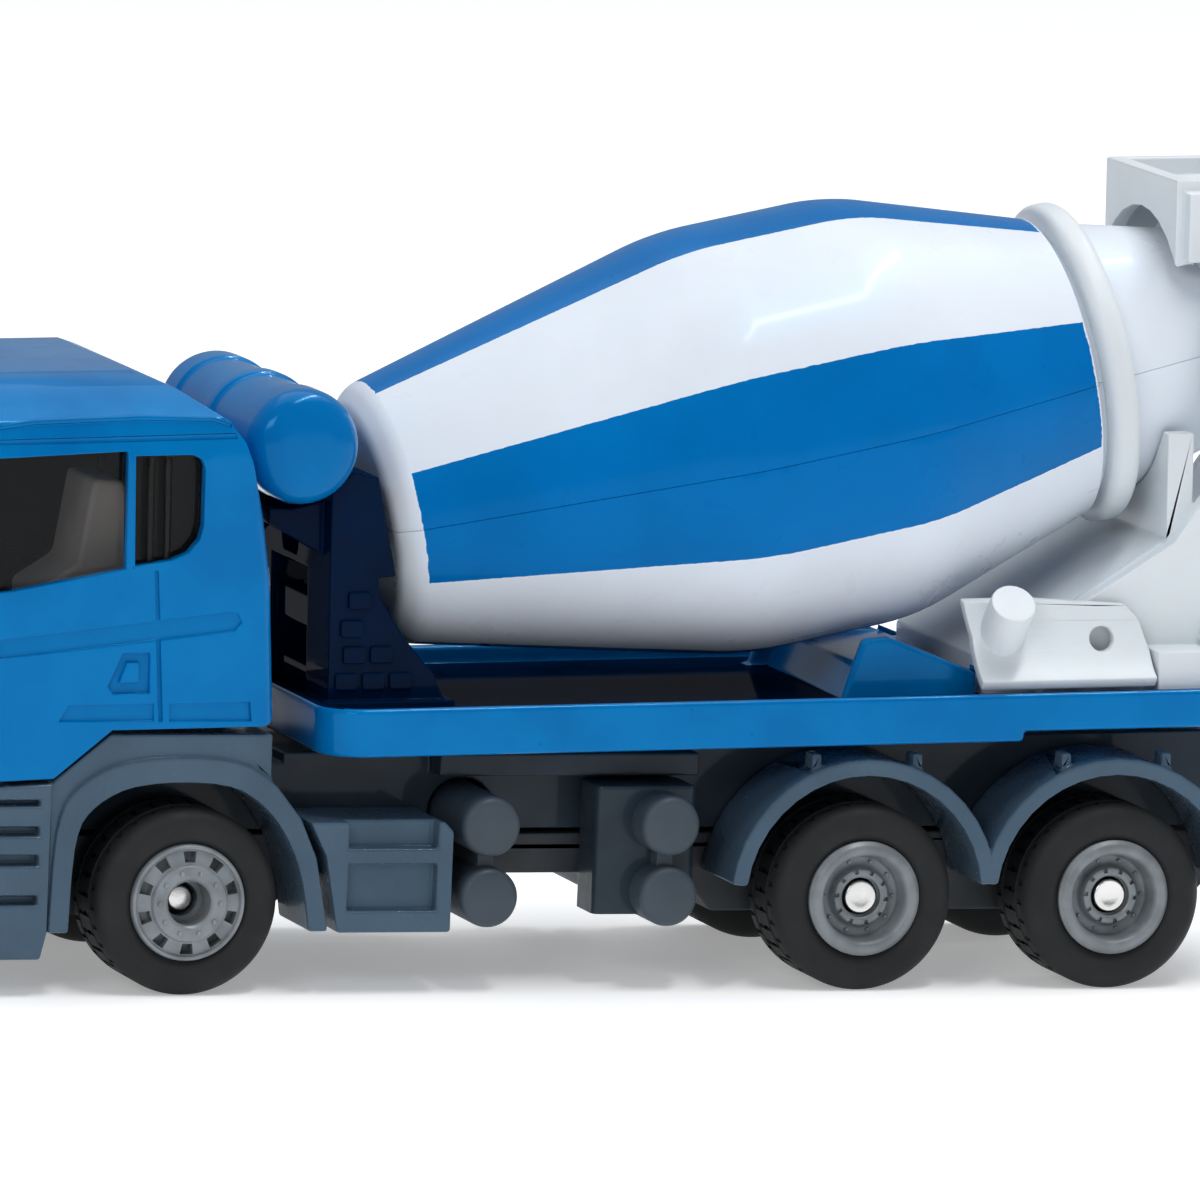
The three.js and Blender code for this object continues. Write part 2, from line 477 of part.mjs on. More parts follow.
// The loose chute length stands on its edge inside the left rail, its hollow side outward.
function spareChute() {
  const [centreY, centreZ] = [-15.6, 22.6];
  const arc = new THREE.Shape();
  arc.absarc(centreY, centreZ, 5.3, THREE.MathUtils.degToRad(-58), THREE.MathUtils.degToRad(14), false);
  arc.absarc(centreY, centreZ, 4.5, THREE.MathUtils.degToRad(14), THREE.MathUtils.degToRad(-58), true);
  const sideView = [[52.9, 17.5], [64.8, 17.5], [64.7, 20.4], [64.1, 22.3], [63.1, 23.3], [51.9, 24.2], [52.7, 21.4]];
  const trough = common(frontPrism(arc, [50, 66]), sidePrism(sideView, both(20)));
  const peg = rod(1.5, [0, 3.6], 20).rotateX(THREE.MathUtils.degToRad(135)).translate(54.8, -10.7, 21.3);
  return cut(join(trough, peg), crossRod(61.5, 21.1, 0.8, [-20, -5]));
}

// ---- the truck ----------------------------------------------------------------------------------------------

const truck = new THREE.Group();
truck.position.x = -(FRONT_END + REAR_END) / 2;

piece(truck, 'chassis_frame', chassisFrame(), 'greyPaint');
piece(truck, 'base_plate', basePlate(), 'darkPlate');
RIVETS.forEach((rivet, i) => piece(truck, `base_rivet_${i === 0 ? 'front' : 'rear'}`, baseRivet(rivet), 'steel'));
piece(truck, 'cab_base', cabBase(), 'greyPaint');
piece(truck, 'front_bumper', frontBumper(), 'greyPaint');
piece(truck, 'air_tanks_front', airTankPair(AIR_TANK.front), 'greyPlastic');
piece(truck, 'air_tanks_rear', rearAirTanks(), 'greyPlastic');
for (const [side, label] of [[LEFT, 'left'], [RIGHT, 'right']]) {
  piece(truck, `headlight_${label}`, headlight(side), 'clearLens');
  piece(truck, `side_box_${label}`, sideBox(side), 'greyPaint');
  piece(truck, `rear_fender_${label}`, rearFender(side), 'greyPaint');
}
Object.keys(AXLES).forEach((name) => wheelSet(truck, name));

const raked = group(group(truck, [0, 0, RAKE_PIVOT_Z], -RAKE), [0, 0, -RAKE_PIVOT_Z]);
piece(raked, 'cab_shell', cabShell(), 'bluePaint');
piece(raked, 'cab_glazing', cabGlazing(), 'tintedGlass');
piece(raked, 'cab_interior', cabInterior(), 'seatPlastic');
piece(raked, 'front_grille', frontGrille(), 'darkPlate');
piece(raked, 'deck', deck(), 'bluePaint');
piece(raked, 'drum_pedestal', drumPedestal(), 'bluePaint');
piece(raked, 'water_tank', waterTank(), 'bluePaint');
piece(raked, 'rear_frame', rearFrame(), 'whitePlastic');
piece(raked, 'hopper', hopper(), 'whitePlastic');
piece(raked, 'spare_chute', spareChute(), 'whitePlastic');

const drum = group(raked, [DRUM.x, 0, DRUM.z], -DRUM.tilt);
piece(drum, 'drum_shell_upper', drumHalf(true), 'whitePlastic');
piece(drum, 'drum_shell_lower', drumHalf(false), 'whitePlastic');
piece(drum, 'drum_collar', drumCollar(), 'whitePlastic');
piece(drum, 'drum_pin', drumPin(), 'whitePlastic');

const chute = group(raked, [CHUTE.x, 0, 0]);
piece(chute, 'chute_bracket', chuteBracket(), 'whitePlastic');
piece(chute, 'chute_main', chuteMain(), 'whitePlastic');

export default truck;
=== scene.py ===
"""A die-cast toy cement mixer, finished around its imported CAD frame."""
import math

import bmesh
import bpy
from mathutils import Color, Matrix, Vector


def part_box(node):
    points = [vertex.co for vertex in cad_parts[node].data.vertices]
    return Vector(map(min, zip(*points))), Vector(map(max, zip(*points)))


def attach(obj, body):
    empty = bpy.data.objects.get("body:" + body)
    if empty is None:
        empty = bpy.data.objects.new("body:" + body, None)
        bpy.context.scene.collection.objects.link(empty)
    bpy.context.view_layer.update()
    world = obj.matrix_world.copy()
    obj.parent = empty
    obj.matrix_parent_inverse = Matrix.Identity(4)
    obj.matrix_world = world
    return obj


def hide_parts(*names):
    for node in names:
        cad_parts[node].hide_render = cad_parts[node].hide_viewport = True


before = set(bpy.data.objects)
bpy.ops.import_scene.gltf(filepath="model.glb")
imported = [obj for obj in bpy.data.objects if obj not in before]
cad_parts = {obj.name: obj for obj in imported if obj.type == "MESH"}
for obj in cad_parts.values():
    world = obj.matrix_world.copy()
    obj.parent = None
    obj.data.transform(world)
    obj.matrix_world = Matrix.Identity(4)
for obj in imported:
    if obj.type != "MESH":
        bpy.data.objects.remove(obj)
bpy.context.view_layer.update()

bl_info = {
    "name": "Toy cement mixer",
    "version": (1, 0, 0),
    "blender": (4, 5, 0),
    "location": "View3D > Sidebar > Mixer",
    "description": "Builds the painted and moulded pieces of a toy cement mixer",
    "category": "Add Mesh",
}

MILLIMETRE = 0.001
LEFT = -1
RIGHT = 1
SIDES = {"left": LEFT, "right": RIGHT}
AXLES = ("front_axle", "rear_axle_1", "rear_axle_2")


def middle(node):
    low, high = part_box(node)
    return (low + high) / 2


# Shapes are given in millimetres of three frames. The chassis frame has the front axle at x = 0. The body
# above it leans nose-down about a point at deck height, and the drum's frame lies along its tilted axis.
RAKE = math.radians(1.2)
RAKE_PIVOT = Vector((0, 0, 14))
DRUM_FOOT = Vector((15.0, 0, 28.4))
DRUM_TILT = math.radians(10.9)

IN_TRUCK = Matrix.Translation((middle("front_axle_shaft").x, 0, 0)) @ Matrix.Scale(MILLIMETRE, 4)
IN_BODY = (IN_TRUCK @ Matrix.Translation(RAKE_PIVOT) @ Matrix.Rotation(-RAKE, 4, "Y")
           @ Matrix.Translation(-RAKE_PIVOT))
IN_DRUM = IN_BODY @ Matrix.Translation(DRUM_FOOT) @ Matrix.Rotation(-DRUM_TILT, 4, "Y")


def srgb(red, green, blue):
    """A screen colour as Blender's linear colour."""
    return tuple(Color((red / 255, green / 255, blue / 255)).from_srgb_to_scene_linear())


def colour_prop(name, description, default):
    return bpy.props.FloatVectorProperty(
        name=name, description=description, default=default, subtype="COLOR", size=3, min=0, max=1)


def length_prop(name, description, default):
    """A length that is given in millimetres."""
    return bpy.props.FloatProperty(name=name, description=description, default=default, min=0)


class MixerColours(bpy.types.PropertyGroup):
    """Paint, plastic and rubber colours."""
    blue: colour_prop("Blue paint", "Cab, deck and water tank", srgb(0, 112, 178))
    blue_shade: colour_prop("Blue paint shade", "The paint where it is thin or pooled", srgb(0, 102, 168))
    # Painted shade: the pedestal's dark navy stands for shade on the blue casting, and the deck's bed takes
    # it as the drum's painted shadow.
    pedestal: colour_prop("Pedestal paint", "The drum's front pedestal and the deck's bed", srgb(2, 26, 56))
    grey: colour_prop("Grey paint", "Wheel arches, steps, side boxes and bumper", srgb(70, 90, 107))
    chassis: colour_prop("Chassis paint", "Frame rails between the wheels", srgb(44, 56, 66))
    tank: colour_prop("Tank plastic", "Air tanks", srgb(66, 76, 86))
    white: colour_prop("White plastic", "Rear frame, hopper and chutes", srgb(220, 226, 230))
    # The drum's white plastic carries a faint blue cast, painted reflection of blue light from the deck
    # below.
    drum: colour_prop("Drum plastic", "The mixing drum's shells", srgb(226, 232, 240))
    print: colour_prop("Printed panels", "Blue ink on the drum", srgb(0, 108, 180))
    rubber: colour_prop("Tyre rubber", "All six tyres", srgb(30, 32, 33))
    front_rim: colour_prop("Front rims", "The front wheels' rims", srgb(134, 140, 144))
    rear_rim: colour_prop("Rear rims", "The rear wheels' rims", srgb(128, 134, 138))
    base: colour_prop("Base plate plastic", "The plate under the chassis", srgb(46, 52, 58))
    # Painted shade: a dark colour put in the rims' windows, hub notches and dish, where shade falls.
    rim_shadow: colour_prop("Rim recesses", "Windows and dishes of the rims", srgb(34, 37, 39))
    seat: colour_prop("Seat plastic", "Seats and dashboard", srgb(200, 192, 184))
    steel: colour_prop("Steel", "Axles and rivets", srgb(226, 224, 222))


class MixerSizes(bpy.types.PropertyGroup):
    """Sizes that can be changed without leaving the CAD frame, in millimetres."""
    paint_edge: length_prop("Painted edge", "Width of the rounding on painted castings", 0.32)
    plastic_edge: length_prop("Moulded edge", "Width of the rounding on plastic mouldings", 0.18)
    shell_seam: length_prop("Drum seam", "Gap between the drum's two shells", 0.01)
    tread_depth: length_prop("Tread depth", "Depth of the grooves across the tyres", 0.12)
    pane_recess: length_prop("Pane recess", "How far the side glass lies behind the cab's side", 0.45)


class MixerStage(bpy.types.PropertyGroup):
    """Floor, camera and lights."""
    floor_size: bpy.props.FloatProperty(
        name="Floor size", description="Side of the floor", default=6.0, unit="LENGTH")
    floor_colour: colour_prop("Floor colour", "A plain pale floor", (0.88, 0.88, 0.88))
    azimuth: bpy.props.FloatProperty(
        name="Azimuth", description="Turn of the camera about the truck", default=math.radians(-18),
        subtype="ANGLE")
    elevation: bpy.props.FloatProperty(
        name="Elevation", description="Height of the camera as an angle", default=math.radians(7.5),
        subtype="ANGLE")
    roll: bpy.props.FloatProperty(
        name="Roll", description="Tilt of the picture", default=math.radians(2.4), subtype="ANGLE")
    distance: bpy.props.FloatProperty(
        name="Distance", description="From the camera to its aim", default=1.08, unit="LENGTH")
    lens: bpy.props.FloatProperty(name="Lens", description="Focal length in millimetres", default=512.9)
    aim: bpy.props.FloatVectorProperty(
        name="Aim", description="The point in the middle of the picture",
        default=(-0.008246, -0.019269, 0.02604), subtype="TRANSLATION", unit="LENGTH")


def colours():
    return bpy.context.scene.mixer_colours


def sizes():
    return bpy.context.scene.mixer_sizes


# ---- shader node groups ------------------------------------------------------

class Tree:
    """Adds shader nodes to one tree and joins them."""

    def __init__(self, tree):
        self.nodes = tree.nodes
        self.links = tree.links

    def add(self, kind, inputs=None, **settings):
        node = self.nodes.new("ShaderNode" + kind)
        for key, value in settings.items():
            setattr(node, key, value)
        for key, value in (inputs or {}).items():
            self.feed(node.inputs[key], value)
        return node

    def feed(self, socket, value):
        if isinstance(value, bpy.types.NodeSocket):
            self.links.new(value, socket)
        else:
            socket.default_value = value

    def maths(self, operation, *values):
        node = self.add("Math", operation=operation)
        for socket, value in zip(node.inputs, values):
            self.feed(socket, value)
        return node.outputs[0]

    def noise(self, vector, scale, detail, distortion=0.0):
        node = self.add("TexNoise", inputs={"Vector": vector, "Scale": scale, "Detail": detail,
                                            "Distortion": distortion})
        return node.outputs[0]

    def spread(self, value, low, high):
        """Maps a value from a range to 0 to 1, smoothly at both ends."""
        node = self.add("MapRange", interpolation_type="SMOOTHSTEP", inputs={0: value, 1: low, 2: high})
        return node.outputs[0]

    def mix(self, share, first, second):
        node = self.add("Mix", data_type="RGBA")
        self.feed(node.inputs[0], share)
        self.feed(node.inputs[6], first)
        self.feed(node.inputs[7], second)
        return node.outputs[2]

    def group(self, made, **inputs):
        node = self.add("Group", node_tree=made)
        for key, value in inputs.items():
            self.feed(node.inputs[key], value)
        return node.outputs[0]


GROUPS = {}


def new_group(name, inputs, output):
    """A node group with named sockets: the group, its tree, its inputs and a way to set its output."""
    made = bpy.data.node_groups.new(name, "ShaderNodeTree")
    for label, kind in inputs:
        made.interface.new_socket(label, in_out="INPUT", socket_type="NodeSocket" + kind)
    made.interface.new_socket(output[0], in_out="OUTPUT", socket_type="NodeSocket" + output[1])
    tree = Tree(made)
    source = made.nodes.new("NodeGroupInput")
    target = made.nodes.new("NodeGroupOutput")
    return made, tree, source.outputs, lambda socket: tree.feed(target.inputs[0], socket)


def mottle_group():
    """Two shades of one colour in soft clouds."""
    made, tree, source, put = new_group(
        "Mottled colour", [("Vector", "Vector"), ("Light", "Color"), ("Dark", "Color"), ("Scale", "Float")],
        ("Colour", "Color"))
    clouds = tree.noise(source["Vector"], source["Scale"], 3.0)
    put(tree.mix(tree.spread(clouds, 0.35, 0.68), source["Light"], source["Dark"]))
    return made


def gloss_group():
    """Roughness that drifts between two values, with fine smears."""
    made, tree, source, put = new_group(
        "Uneven gloss", [("Vector", "Vector"), ("Low", "Float"), ("High", "Float"), ("Scale", "Float")],
        ("Roughness", "Float"))
    smears = tree.noise(source["Vector"], source["Scale"], 5.0, distortion=0.6)
    drift = tree.add("MapRange", inputs={0: smears, 1: 0.3, 2: 0.7, 3: source["Low"], 4: source["High"]})
    put(drift.outputs[0])
    return made


def grain_group():
    """A height of fine moulded grain over a soft wave."""
    made, tree, source, put = new_group(
        "Surface grain",
        [("Vector", "Vector"), ("Grain", "Float"), ("Wave", "Float"), ("Waviness", "Float")],
        ("Height", "Float"))
    fine = tree.noise(source["Vector"], source["Grain"], 4.0)
    wave = tree.noise(source["Vector"], source["Wave"], 1.0)
    put(tree.maths("ADD", fine, tree.maths("MULTIPLY", wave, source["Waviness"])))
    return made


def speck_group():
    """Small scattered specks, as of dust or pitted paint."""
    made, tree, source, put = new_group(
        "Specks", [("Vector", "Vector"), ("Scale", "Float"), ("Size", "Float")], ("Mask", "Float"))
    cells = tree.add("TexVoronoi", inputs={"Vector": source["Vector"], "Scale": source["Scale"]})
    picked = tree.add("SeparateColor", inputs={0: cells.outputs["Color"]})
    near = tree.maths("LESS_THAN", cells.outputs["Distance"], source["Size"])
    put(tree.maths("MULTIPLY", near, tree.maths("GREATER_THAN", picked.outputs[0], 0.8)))
    return made


def print_group():
    """Four long panels round the X axis, with slightly ragged ends."""
    made, tree, source, put = new_group(
        "Printed panels",
        [("Vector", "Vector"), ("Start", "Float"), ("End", "Float"), ("Side share", "Float"),
         ("Top share", "Float")],
        ("Mask", "Float"))
    place = tree.add("SeparateXYZ", inputs={0: source["Vector"]})
    wobble = tree.maths("SUBTRACT", tree.noise(source["Vector"], 2.2, 4.0), 0.5)
    turn = tree.maths("ARCTAN2", place.outputs[1], place.outputs[2])
    quarter = tree.maths("DIVIDE", turn, math.pi / 2)
    panel = tree.maths("ROUND", quarter)
    off = tree.maths("ABSOLUTE", tree.maths("SUBTRACT", quarter, panel))
    at_side = tree.maths("COMPARE", tree.maths("ABSOLUTE", panel), 1.0, 0.1)
    wider = tree.maths("SUBTRACT", source["Side share"], source["Top share"])
    extra = tree.maths("MULTIPLY", at_side, wider)
    off = tree.maths("ADD", off, tree.maths("MULTIPLY", wobble, 0.006))
    around = tree.maths("LESS_THAN", off, tree.maths("ADD", source["Top share"], extra))
    along = tree.maths("ADD", place.outputs[0], tree.maths("MULTIPLY", wobble, 0.25))
    between = tree.maths("MULTIPLY", tree.maths("GREATER_THAN", along, source["Start"]),
                         tree.maths("LESS_THAN", along, source["End"]))
    put(tree.maths("MULTIPLY", around, between))
    return made


GROUP_MAKERS = {"mottle": mottle_group, "gloss": gloss_group, "grain": grain_group, "specks": speck_group,
                "print": print_group}


def shared(name):
    if name not in GROUPS:
        GROUPS[name] = GROUP_MAKERS[name]()
    return GROUPS[name]


# ---- materials ---------------------------------------------------------------

def darker(colour, share):
    return tuple(part * share for part in colour)


def opaque(colour):
    return (*colour, 1.0)


SMEAR_SCALE = 420.0
BUMP_DEPTH = 0.1 * MILLIMETRE


class Finish:
    """One Principled material on Object coordinates, with mottled colour, uneven gloss and grain."""

    def __init__(self, name, light, dark, gloss, grain, bump, mottle_scale=160.0, waviness=0.0,
                 wave=300.0):
        self.material = bpy.data.materials.new(f"{name}_finish")
        self.material.use_nodes = True
        self.tree = Tree(self.material.node_tree)
        self.shader = self.material.node_tree.nodes["Principled BSDF"]
        self.place = self.tree.add("TexCoord").outputs["Object"]
        self.colour = self.mottled(light, dark, mottle_scale)
        self.roughness = self.tree.group(shared("gloss"), Vector=self.place, Low=gloss[0], High=gloss[1],
                                         Scale=SMEAR_SCALE)
        height = self.tree.group(shared("grain"), Vector=self.place, Grain=grain, Wave=wave,
                                 Waviness=waviness)
        self.bump = self.tree.add("Bump", inputs={
            "Strength": bump, "Distance": BUMP_DEPTH, "Height": height})

    def mottled(self, light, dark, scale):
        return self.tree.group(shared("mottle"), Vector=self.place, Light=opaque(light), Dark=opaque(dark),
                               Scale=scale)

    def set(self, **values):
        for key, value in values.items():
            self.shader.inputs[key.replace("_", " ")].default_value = value
        return self

    def dusted(self, colour, scale, size):
        specks = self.tree.group(shared("specks"), Vector=self.place, Scale=scale, Size=size)
        self.colour = self.tree.mix(specks, self.colour, opaque(colour))
        return self

    def done(self):
        self.tree.feed(self.shader.inputs["Base Color"], self.colour)
        self.tree.feed(self.shader.inputs["Roughness"], self.roughness)
        self.tree.feed(self.shader.inputs["Normal"], self.bump.outputs[0])
        return self.material


def blue_paint():
    c = colours()
    finish = Finish("blue_paint", c.blue, c.blue_shade, (0.16, 0.24), 900.0, 0.05, waviness=1.5,
                    wave=260.0)
    return finish.dusted(darker(c.blue, 0.6), 700.0, 0.06).set(
        Specular_IOR_Level=0.4, Specular_Tint=(0.0, 0.45, 0.9, 1.0), Coat_Weight=0.14,
        Coat_Roughness=0.03).done()


# Dark navy paint that carries painted shade on the pedestal and the deck's bed.
def painted_shade_blue():
    c = colours()
    finish = Finish("painted_shade_blue", c.pedestal, darker(c.pedestal, 0.7), (0.14, 0.24), 900.0, 0.06,
                    waviness=1.5)
    return finish.set(Specular_IOR_Level=0.0, Coat_Weight=0.08, Coat_Roughness=0.05).done()


def grey_paint():
    c = colours()
    finish = Finish("grey_paint", c.grey, darker(c.grey, 0.8), (0.2, 0.32), 1100.0, 0.08, waviness=1.2)
    return finish.dusted(darker(c.grey, 1.25), 600.0, 0.05).set(
        Specular_IOR_Level=0.2, Specular_Tint=(0.4, 0.7, 1.0, 1.0), Coat_Weight=0.25,
        Coat_Roughness=0.05).done()


def chassis_paint():
    c = colours()
    finish = Finish("chassis_paint", c.chassis, darker(c.chassis, 0.7), (0.32, 0.48), 1100.0, 0.12,
                    waviness=1.0)
    return finish.set(Specular_IOR_Level=0.1, Coat_Weight=0.2, Coat_Roughness=0.08).done()


def white_plastic():
    c = colours()
    finish = Finish("white_plastic", c.white, darker(c.white, 0.93), (0.34, 0.46), 1500.0, 0.05,
                    mottle_scale=90.0)
    return finish.set(Subsurface_Weight=0.12, Subsurface_Scale=0.0012, Specular_IOR_Level=0.35).done()


def tank_plastic():
    c = colours()
    finish = Finish("tank_plastic", c.tank, darker(c.tank, 0.78), (0.38, 0.55), 1300.0, 0.12)
    return finish.dusted(darker(c.tank, 1.4), 900.0, 0.05).set(Specular_IOR_Level=0.3).done()


def dark_plastic():
    c = colours()
    return Finish("dark_plastic", c.base, darker(c.base, 0.7), (0.42, 0.6), 1600.0, 0.15).done()


def tyre_rubber():
    c = colours()
    finish = Finish("tyre_rubber", c.rubber, darker(c.rubber, 0.75), (0.55, 0.72), 1800.0, 0.18)
    return finish.dusted(darker(c.rubber, 1.6), 800.0, 0.05).set(Specular_IOR_Level=0.3).done()


def rim_plastic(name, colour):
    finish = Finish(name, colour, darker(colour, 0.7), (0.34, 0.5), 1500.0, 0.14, mottle_scale=500.0)
    return finish.set(Metallic=0.15).done()


def steel():
    c = colours()
    finish = Finish("steel", c.steel, darker(c.steel, 0.8), (0.18, 0.34), 2400.0, 0.1)
    return finish.set(Metallic=1.0).done()


def seat_plastic():
    c = colours()
    return Finish("seat_plastic", c.seat, darker(c.seat, 0.75), (0.6, 0.75), 2200.0, 0.3).done()


# Near-black material for the sheet of painted shade inside the cab.
def painted_shade_black():
    dark = (0.006, 0.007, 0.008)
    finish = Finish("painted_shade_black", dark, darker(dark, 0.5), (0.5, 0.65), 1600.0, 0.2)
    return finish.set(Specular_IOR_Level=0.1).done()


def tinted_glass():
    dark = (0.004, 0.005, 0.006)
    finish = Finish("tinted_glass", dark, darker(dark, 0.6), (0.05, 0.1), 900.0, 0.02)
    return finish.set(Alpha=0.5, Specular_IOR_Level=0.3).done()


def clear_lens():
    clear = (0.8, 0.85, 0.88)
    finish = Finish("clear_lens", clear, darker(clear, 0.9), (0.06, 0.14), 900.0, 0.04)
    return finish.set(Coat_Weight=0.5, Coat_Roughness=0.05).done()


# Ends of the panels along the drum's axis.
PRINT_START = 1.6
PRINT_END = 47.1
# Half widths of the panels, as shares of a quarter turn.
SIDE_PANEL = 0.275
TOP_PANEL = 0.2


def drum_plastic():
    """White plastic with four blue panels printed round the drum."""
    c = colours()
    finish = Finish("drum_plastic", c.drum, darker(c.drum, 0.94), (0.26, 0.36), 1300.0, 0.03,
                    mottle_scale=80.0)
    foot, turn, scale = IN_DRUM.decompose()
    level = finish.tree.add("Mapping", vector_type="TEXTURE", inputs={
        "Vector": finish.place, "Location": foot, "Rotation": turn.to_euler("XYZ"), "Scale": scale})
    printed = finish.tree.group(shared("print"), **{
        "Vector": level.outputs[0], "Start": PRINT_START, "End": PRINT_END, "Side share": SIDE_PANEL,
        "Top share": TOP_PANEL})
    ink = finish.mottled(c.print, darker(c.print, 0.88), 120.0)
    finish.colour = finish.tree.mix(printed, finish.colour, ink)
    # The blue tint of the drum's reflections is painted reflection of blue light from the deck below.
    return finish.set(Subsurface_Weight=0.08, Subsurface_Scale=0.0012, Specular_IOR_Level=0.25,
                      Specular_Tint=(0.0, 0.5, 1.0, 1.0), Coat_Weight=0.08, Coat_Roughness=0.1).done()


def floor_finish():
    pale = tuple(bpy.context.scene.mixer_stage.floor_colour)
    return Finish("floor", pale, darker(pale, 0.985), (0.7, 0.8), 30.0, 0.02, mottle_scale=2.0).set(
        Specular_IOR_Level=0.1, Emission_Color=(1.0, 1.0, 1.0, 1.0), Emission_Strength=0.3).done()


MATERIAL_MAKERS = {
    "blue_paint": blue_paint, "painted_shade_blue": painted_shade_blue, "grey_paint": grey_paint,
    "chassis_paint": chassis_paint, "white_plastic": white_plastic, "tank_plastic": tank_plastic,
    "dark_plastic": dark_plastic, "tyre_rubber": tyre_rubber, "steel": steel,
    "seat_plastic": seat_plastic, "painted_shade_black": painted_shade_black, "tinted_glass": tinted_glass,
    "clear_lens": clear_lens, "drum_plastic": drum_plastic, "floor": floor_finish,
    "front_rim": lambda: rim_plastic("front_rim", colours().front_rim),
    "rear_rim": lambda: rim_plastic("rear_rim", colours().rear_rim),
    "rim_shadow": lambda: rim_plastic("rim_shadow", colours().rim_shadow),
}
# Each finish's material, made once.
# Kept here and not found by name, since the frame has plain materials with some of the same names.
MATERIALS = {}


def material(name):
    if name not in MATERIALS:
        MATERIALS[name] = MATERIAL_MAKERS[name]()
    return MATERIALS[name]


# ---- mesh tools --------------------------------------------------------------

def verts_in(geometry):
    return [part for part in geometry if isinstance(part, bmesh.types.BMVert)]


def faces_in(geometry):
    return [part for part in geometry if isinstance(part, bmesh.types.BMFace)]


def soften(bm, width, segments=2, sharper_than=26, edges=None):
    """Rounds the edges whose faces meet at more than an angle."""
    limit = math.radians(sharper_than)
    picked = [e for e in (edges or bm.edges) if e.is_manifold and e.calc_face_angle(0) > limit]
    bmesh.ops.bevel(bm, geom=picked, offset=width, offset_type="OFFSET", segments=segments, profile=0.5,
                    affect="EDGES", clamp_overlap=False, material=-1, loop_slide=True)


def push(bm, faces, offset):
    """Extrudes a region of faces by an offset and returns the faces of its new end."""
    made = bmesh.ops.extrude_face_region(bm, geom=faces)["geom"]
    bmesh.ops.delete(bm, geom=[face for face in faces if face.is_valid], context="FACES")
    bmesh.ops.translate(bm, vec=offset, verts=verts_in(made))
    return faces_in(made)


AXIS_LAYS = {
    "X": lambda a, b, depth: (depth, a, b),
    "Y": lambda a, b, depth: (a, depth, b),
    "Z": lambda a, b, depth: (a, b, depth),
}


def round_corners(bm, verts, radius, segments):
    bmesh.ops.bevel(bm, geom=verts, offset=radius, offset_type="OFFSET", segments=segments, profile=0.5,
                    affect="VERTICES", clamp_overlap=True, material=-1)


def slab(axis, points, span, corner=0.0, width=0.15, segments=2):
    """A prism: an outline across an axis, with rounded corners and rounded edges."""
    bm = bmesh.new()
    lay = AXIS_LAYS[axis]
    verts = [bm.verts.new(lay(a, b, span[0])) for a, b in points]
    bm.faces.new(verts)
    if corner:
        round_corners(bm, verts, corner, 4)
    push(bm, list(bm.faces), Vector(lay(0, 0, span[1] - span[0])))
    bmesh.ops.recalc_face_normals(bm, faces=bm.faces)
    if width:
        soften(bm, width, segments)
    return bm


def turned(profile, steps, corners=None, segments=3, angle=math.tau):
    """Radius and position pairs turned about the Y axis, with the numbered corners rounded first."""
    bm = bmesh.new()
    verts = [bm.verts.new((radius, place, 0)) for radius, place in profile]
    bm.faces.new(verts)
    for radius in sorted(set((corners or {}).values())):
        round_corners(bm, [verts[i] for i, r in corners.items() if r == radius], radius, segments)
    whole = abs(angle - math.tau) < 1e-6
    if whole:
        bmesh.ops.delete(bm, geom=list(bm.faces), context="FACES_ONLY")
        on_axis = [e for e in bm.edges if all(abs(v.co.x) < 1e-6 for v in e.verts)]
        bmesh.ops.delete(bm, geom=on_axis, context="EDGES")
    bmesh.ops.spin(bm, geom=[*bm.verts, *bm.edges, *bm.faces], cent=(0, 0, 0), axis=(0, 1, 0),
                   dvec=(0, 0, 0), angle=angle, steps=steps, use_merge=whole, use_normal_flip=False,
                   use_duplicate=False)
    bmesh.ops.remove_doubles(bm, verts=bm.verts, dist=1e-4)
    bmesh.ops.recalc_face_normals(bm, faces=bm.faces)
    bm.normal_update()
    return bm


Y_TO_X = Matrix.Rotation(-math.pi / 2, 4, "Z")


def moved(bm, matrix):
    bmesh.ops.transform(bm, matrix=matrix, verts=bm.verts)
    if matrix.determinant() < 0:
        bmesh.ops.reverse_faces(bm, faces=bm.faces)
    return bm


def gather(*parts):
    """Puts several meshes into the first."""
    first = parts[0]
    for part in parts[1:]:
        carrier = bpy.data.meshes.new("carrier")
        part.to_mesh(carrier)
        part.free()
        first.from_mesh(carrier)
        bpy.data.meshes.remove(carrier)
    return first


def across(bm):
    """The mesh with its mirror image on the truck's other side."""
    other = moved(bm.copy(), Matrix.Scale(-1, 4, (0, 1, 0)))
    return gather(bm, other)


def cad_copy(node, place=IN_TRUCK):
    """A CAD node's mesh in millimetres of a frame, its loose triangles joined into whole flat faces."""
    bm = bmesh.new()
    bm.from_mesh(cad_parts[node].data)
    moved(bm, place.inverted())
    bmesh.ops.remove_doubles(bm, verts=bm.verts, dist=0.002)
    bmesh.ops.dissolve_limit(bm, angle_limit=math.radians(0.6), use_dissolve_boundaries=False,
                             verts=bm.verts, edges=bm.edges)
    return bm


def finish(bm, name, body, finish_name, place=IN_TRUCK, stands_for=(), smooth=40, also=()):
    """Makes the mesh a piece that rides on a body, in one finish or more, in place of some CAD nodes."""
    moved(bm, place)
    mesh = bpy.data.meshes.new(name)
    bm.to_mesh(mesh)
    bm.free()
    if "custom_normal" in mesh.attributes:
        mesh.attributes.remove(mesh.attributes["custom_normal"])
    mesh.shade_smooth()
    mesh.set_sharp_from_angle(angle=math.radians(smooth))
    mesh.materials.clear()
    for each in (finish_name, *also):
        mesh.materials.append(material(each))
    piece = bpy.data.objects.new(name, mesh)
    bpy.context.scene.collection.objects.link(piece)
    even = piece.modifiers.new("Even shading", "WEIGHTED_NORMAL")
    even.keep_sharp = True
    even.weight = 80
    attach(piece, body)
    if stands_for:
        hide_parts(*stands_for)
    return piece


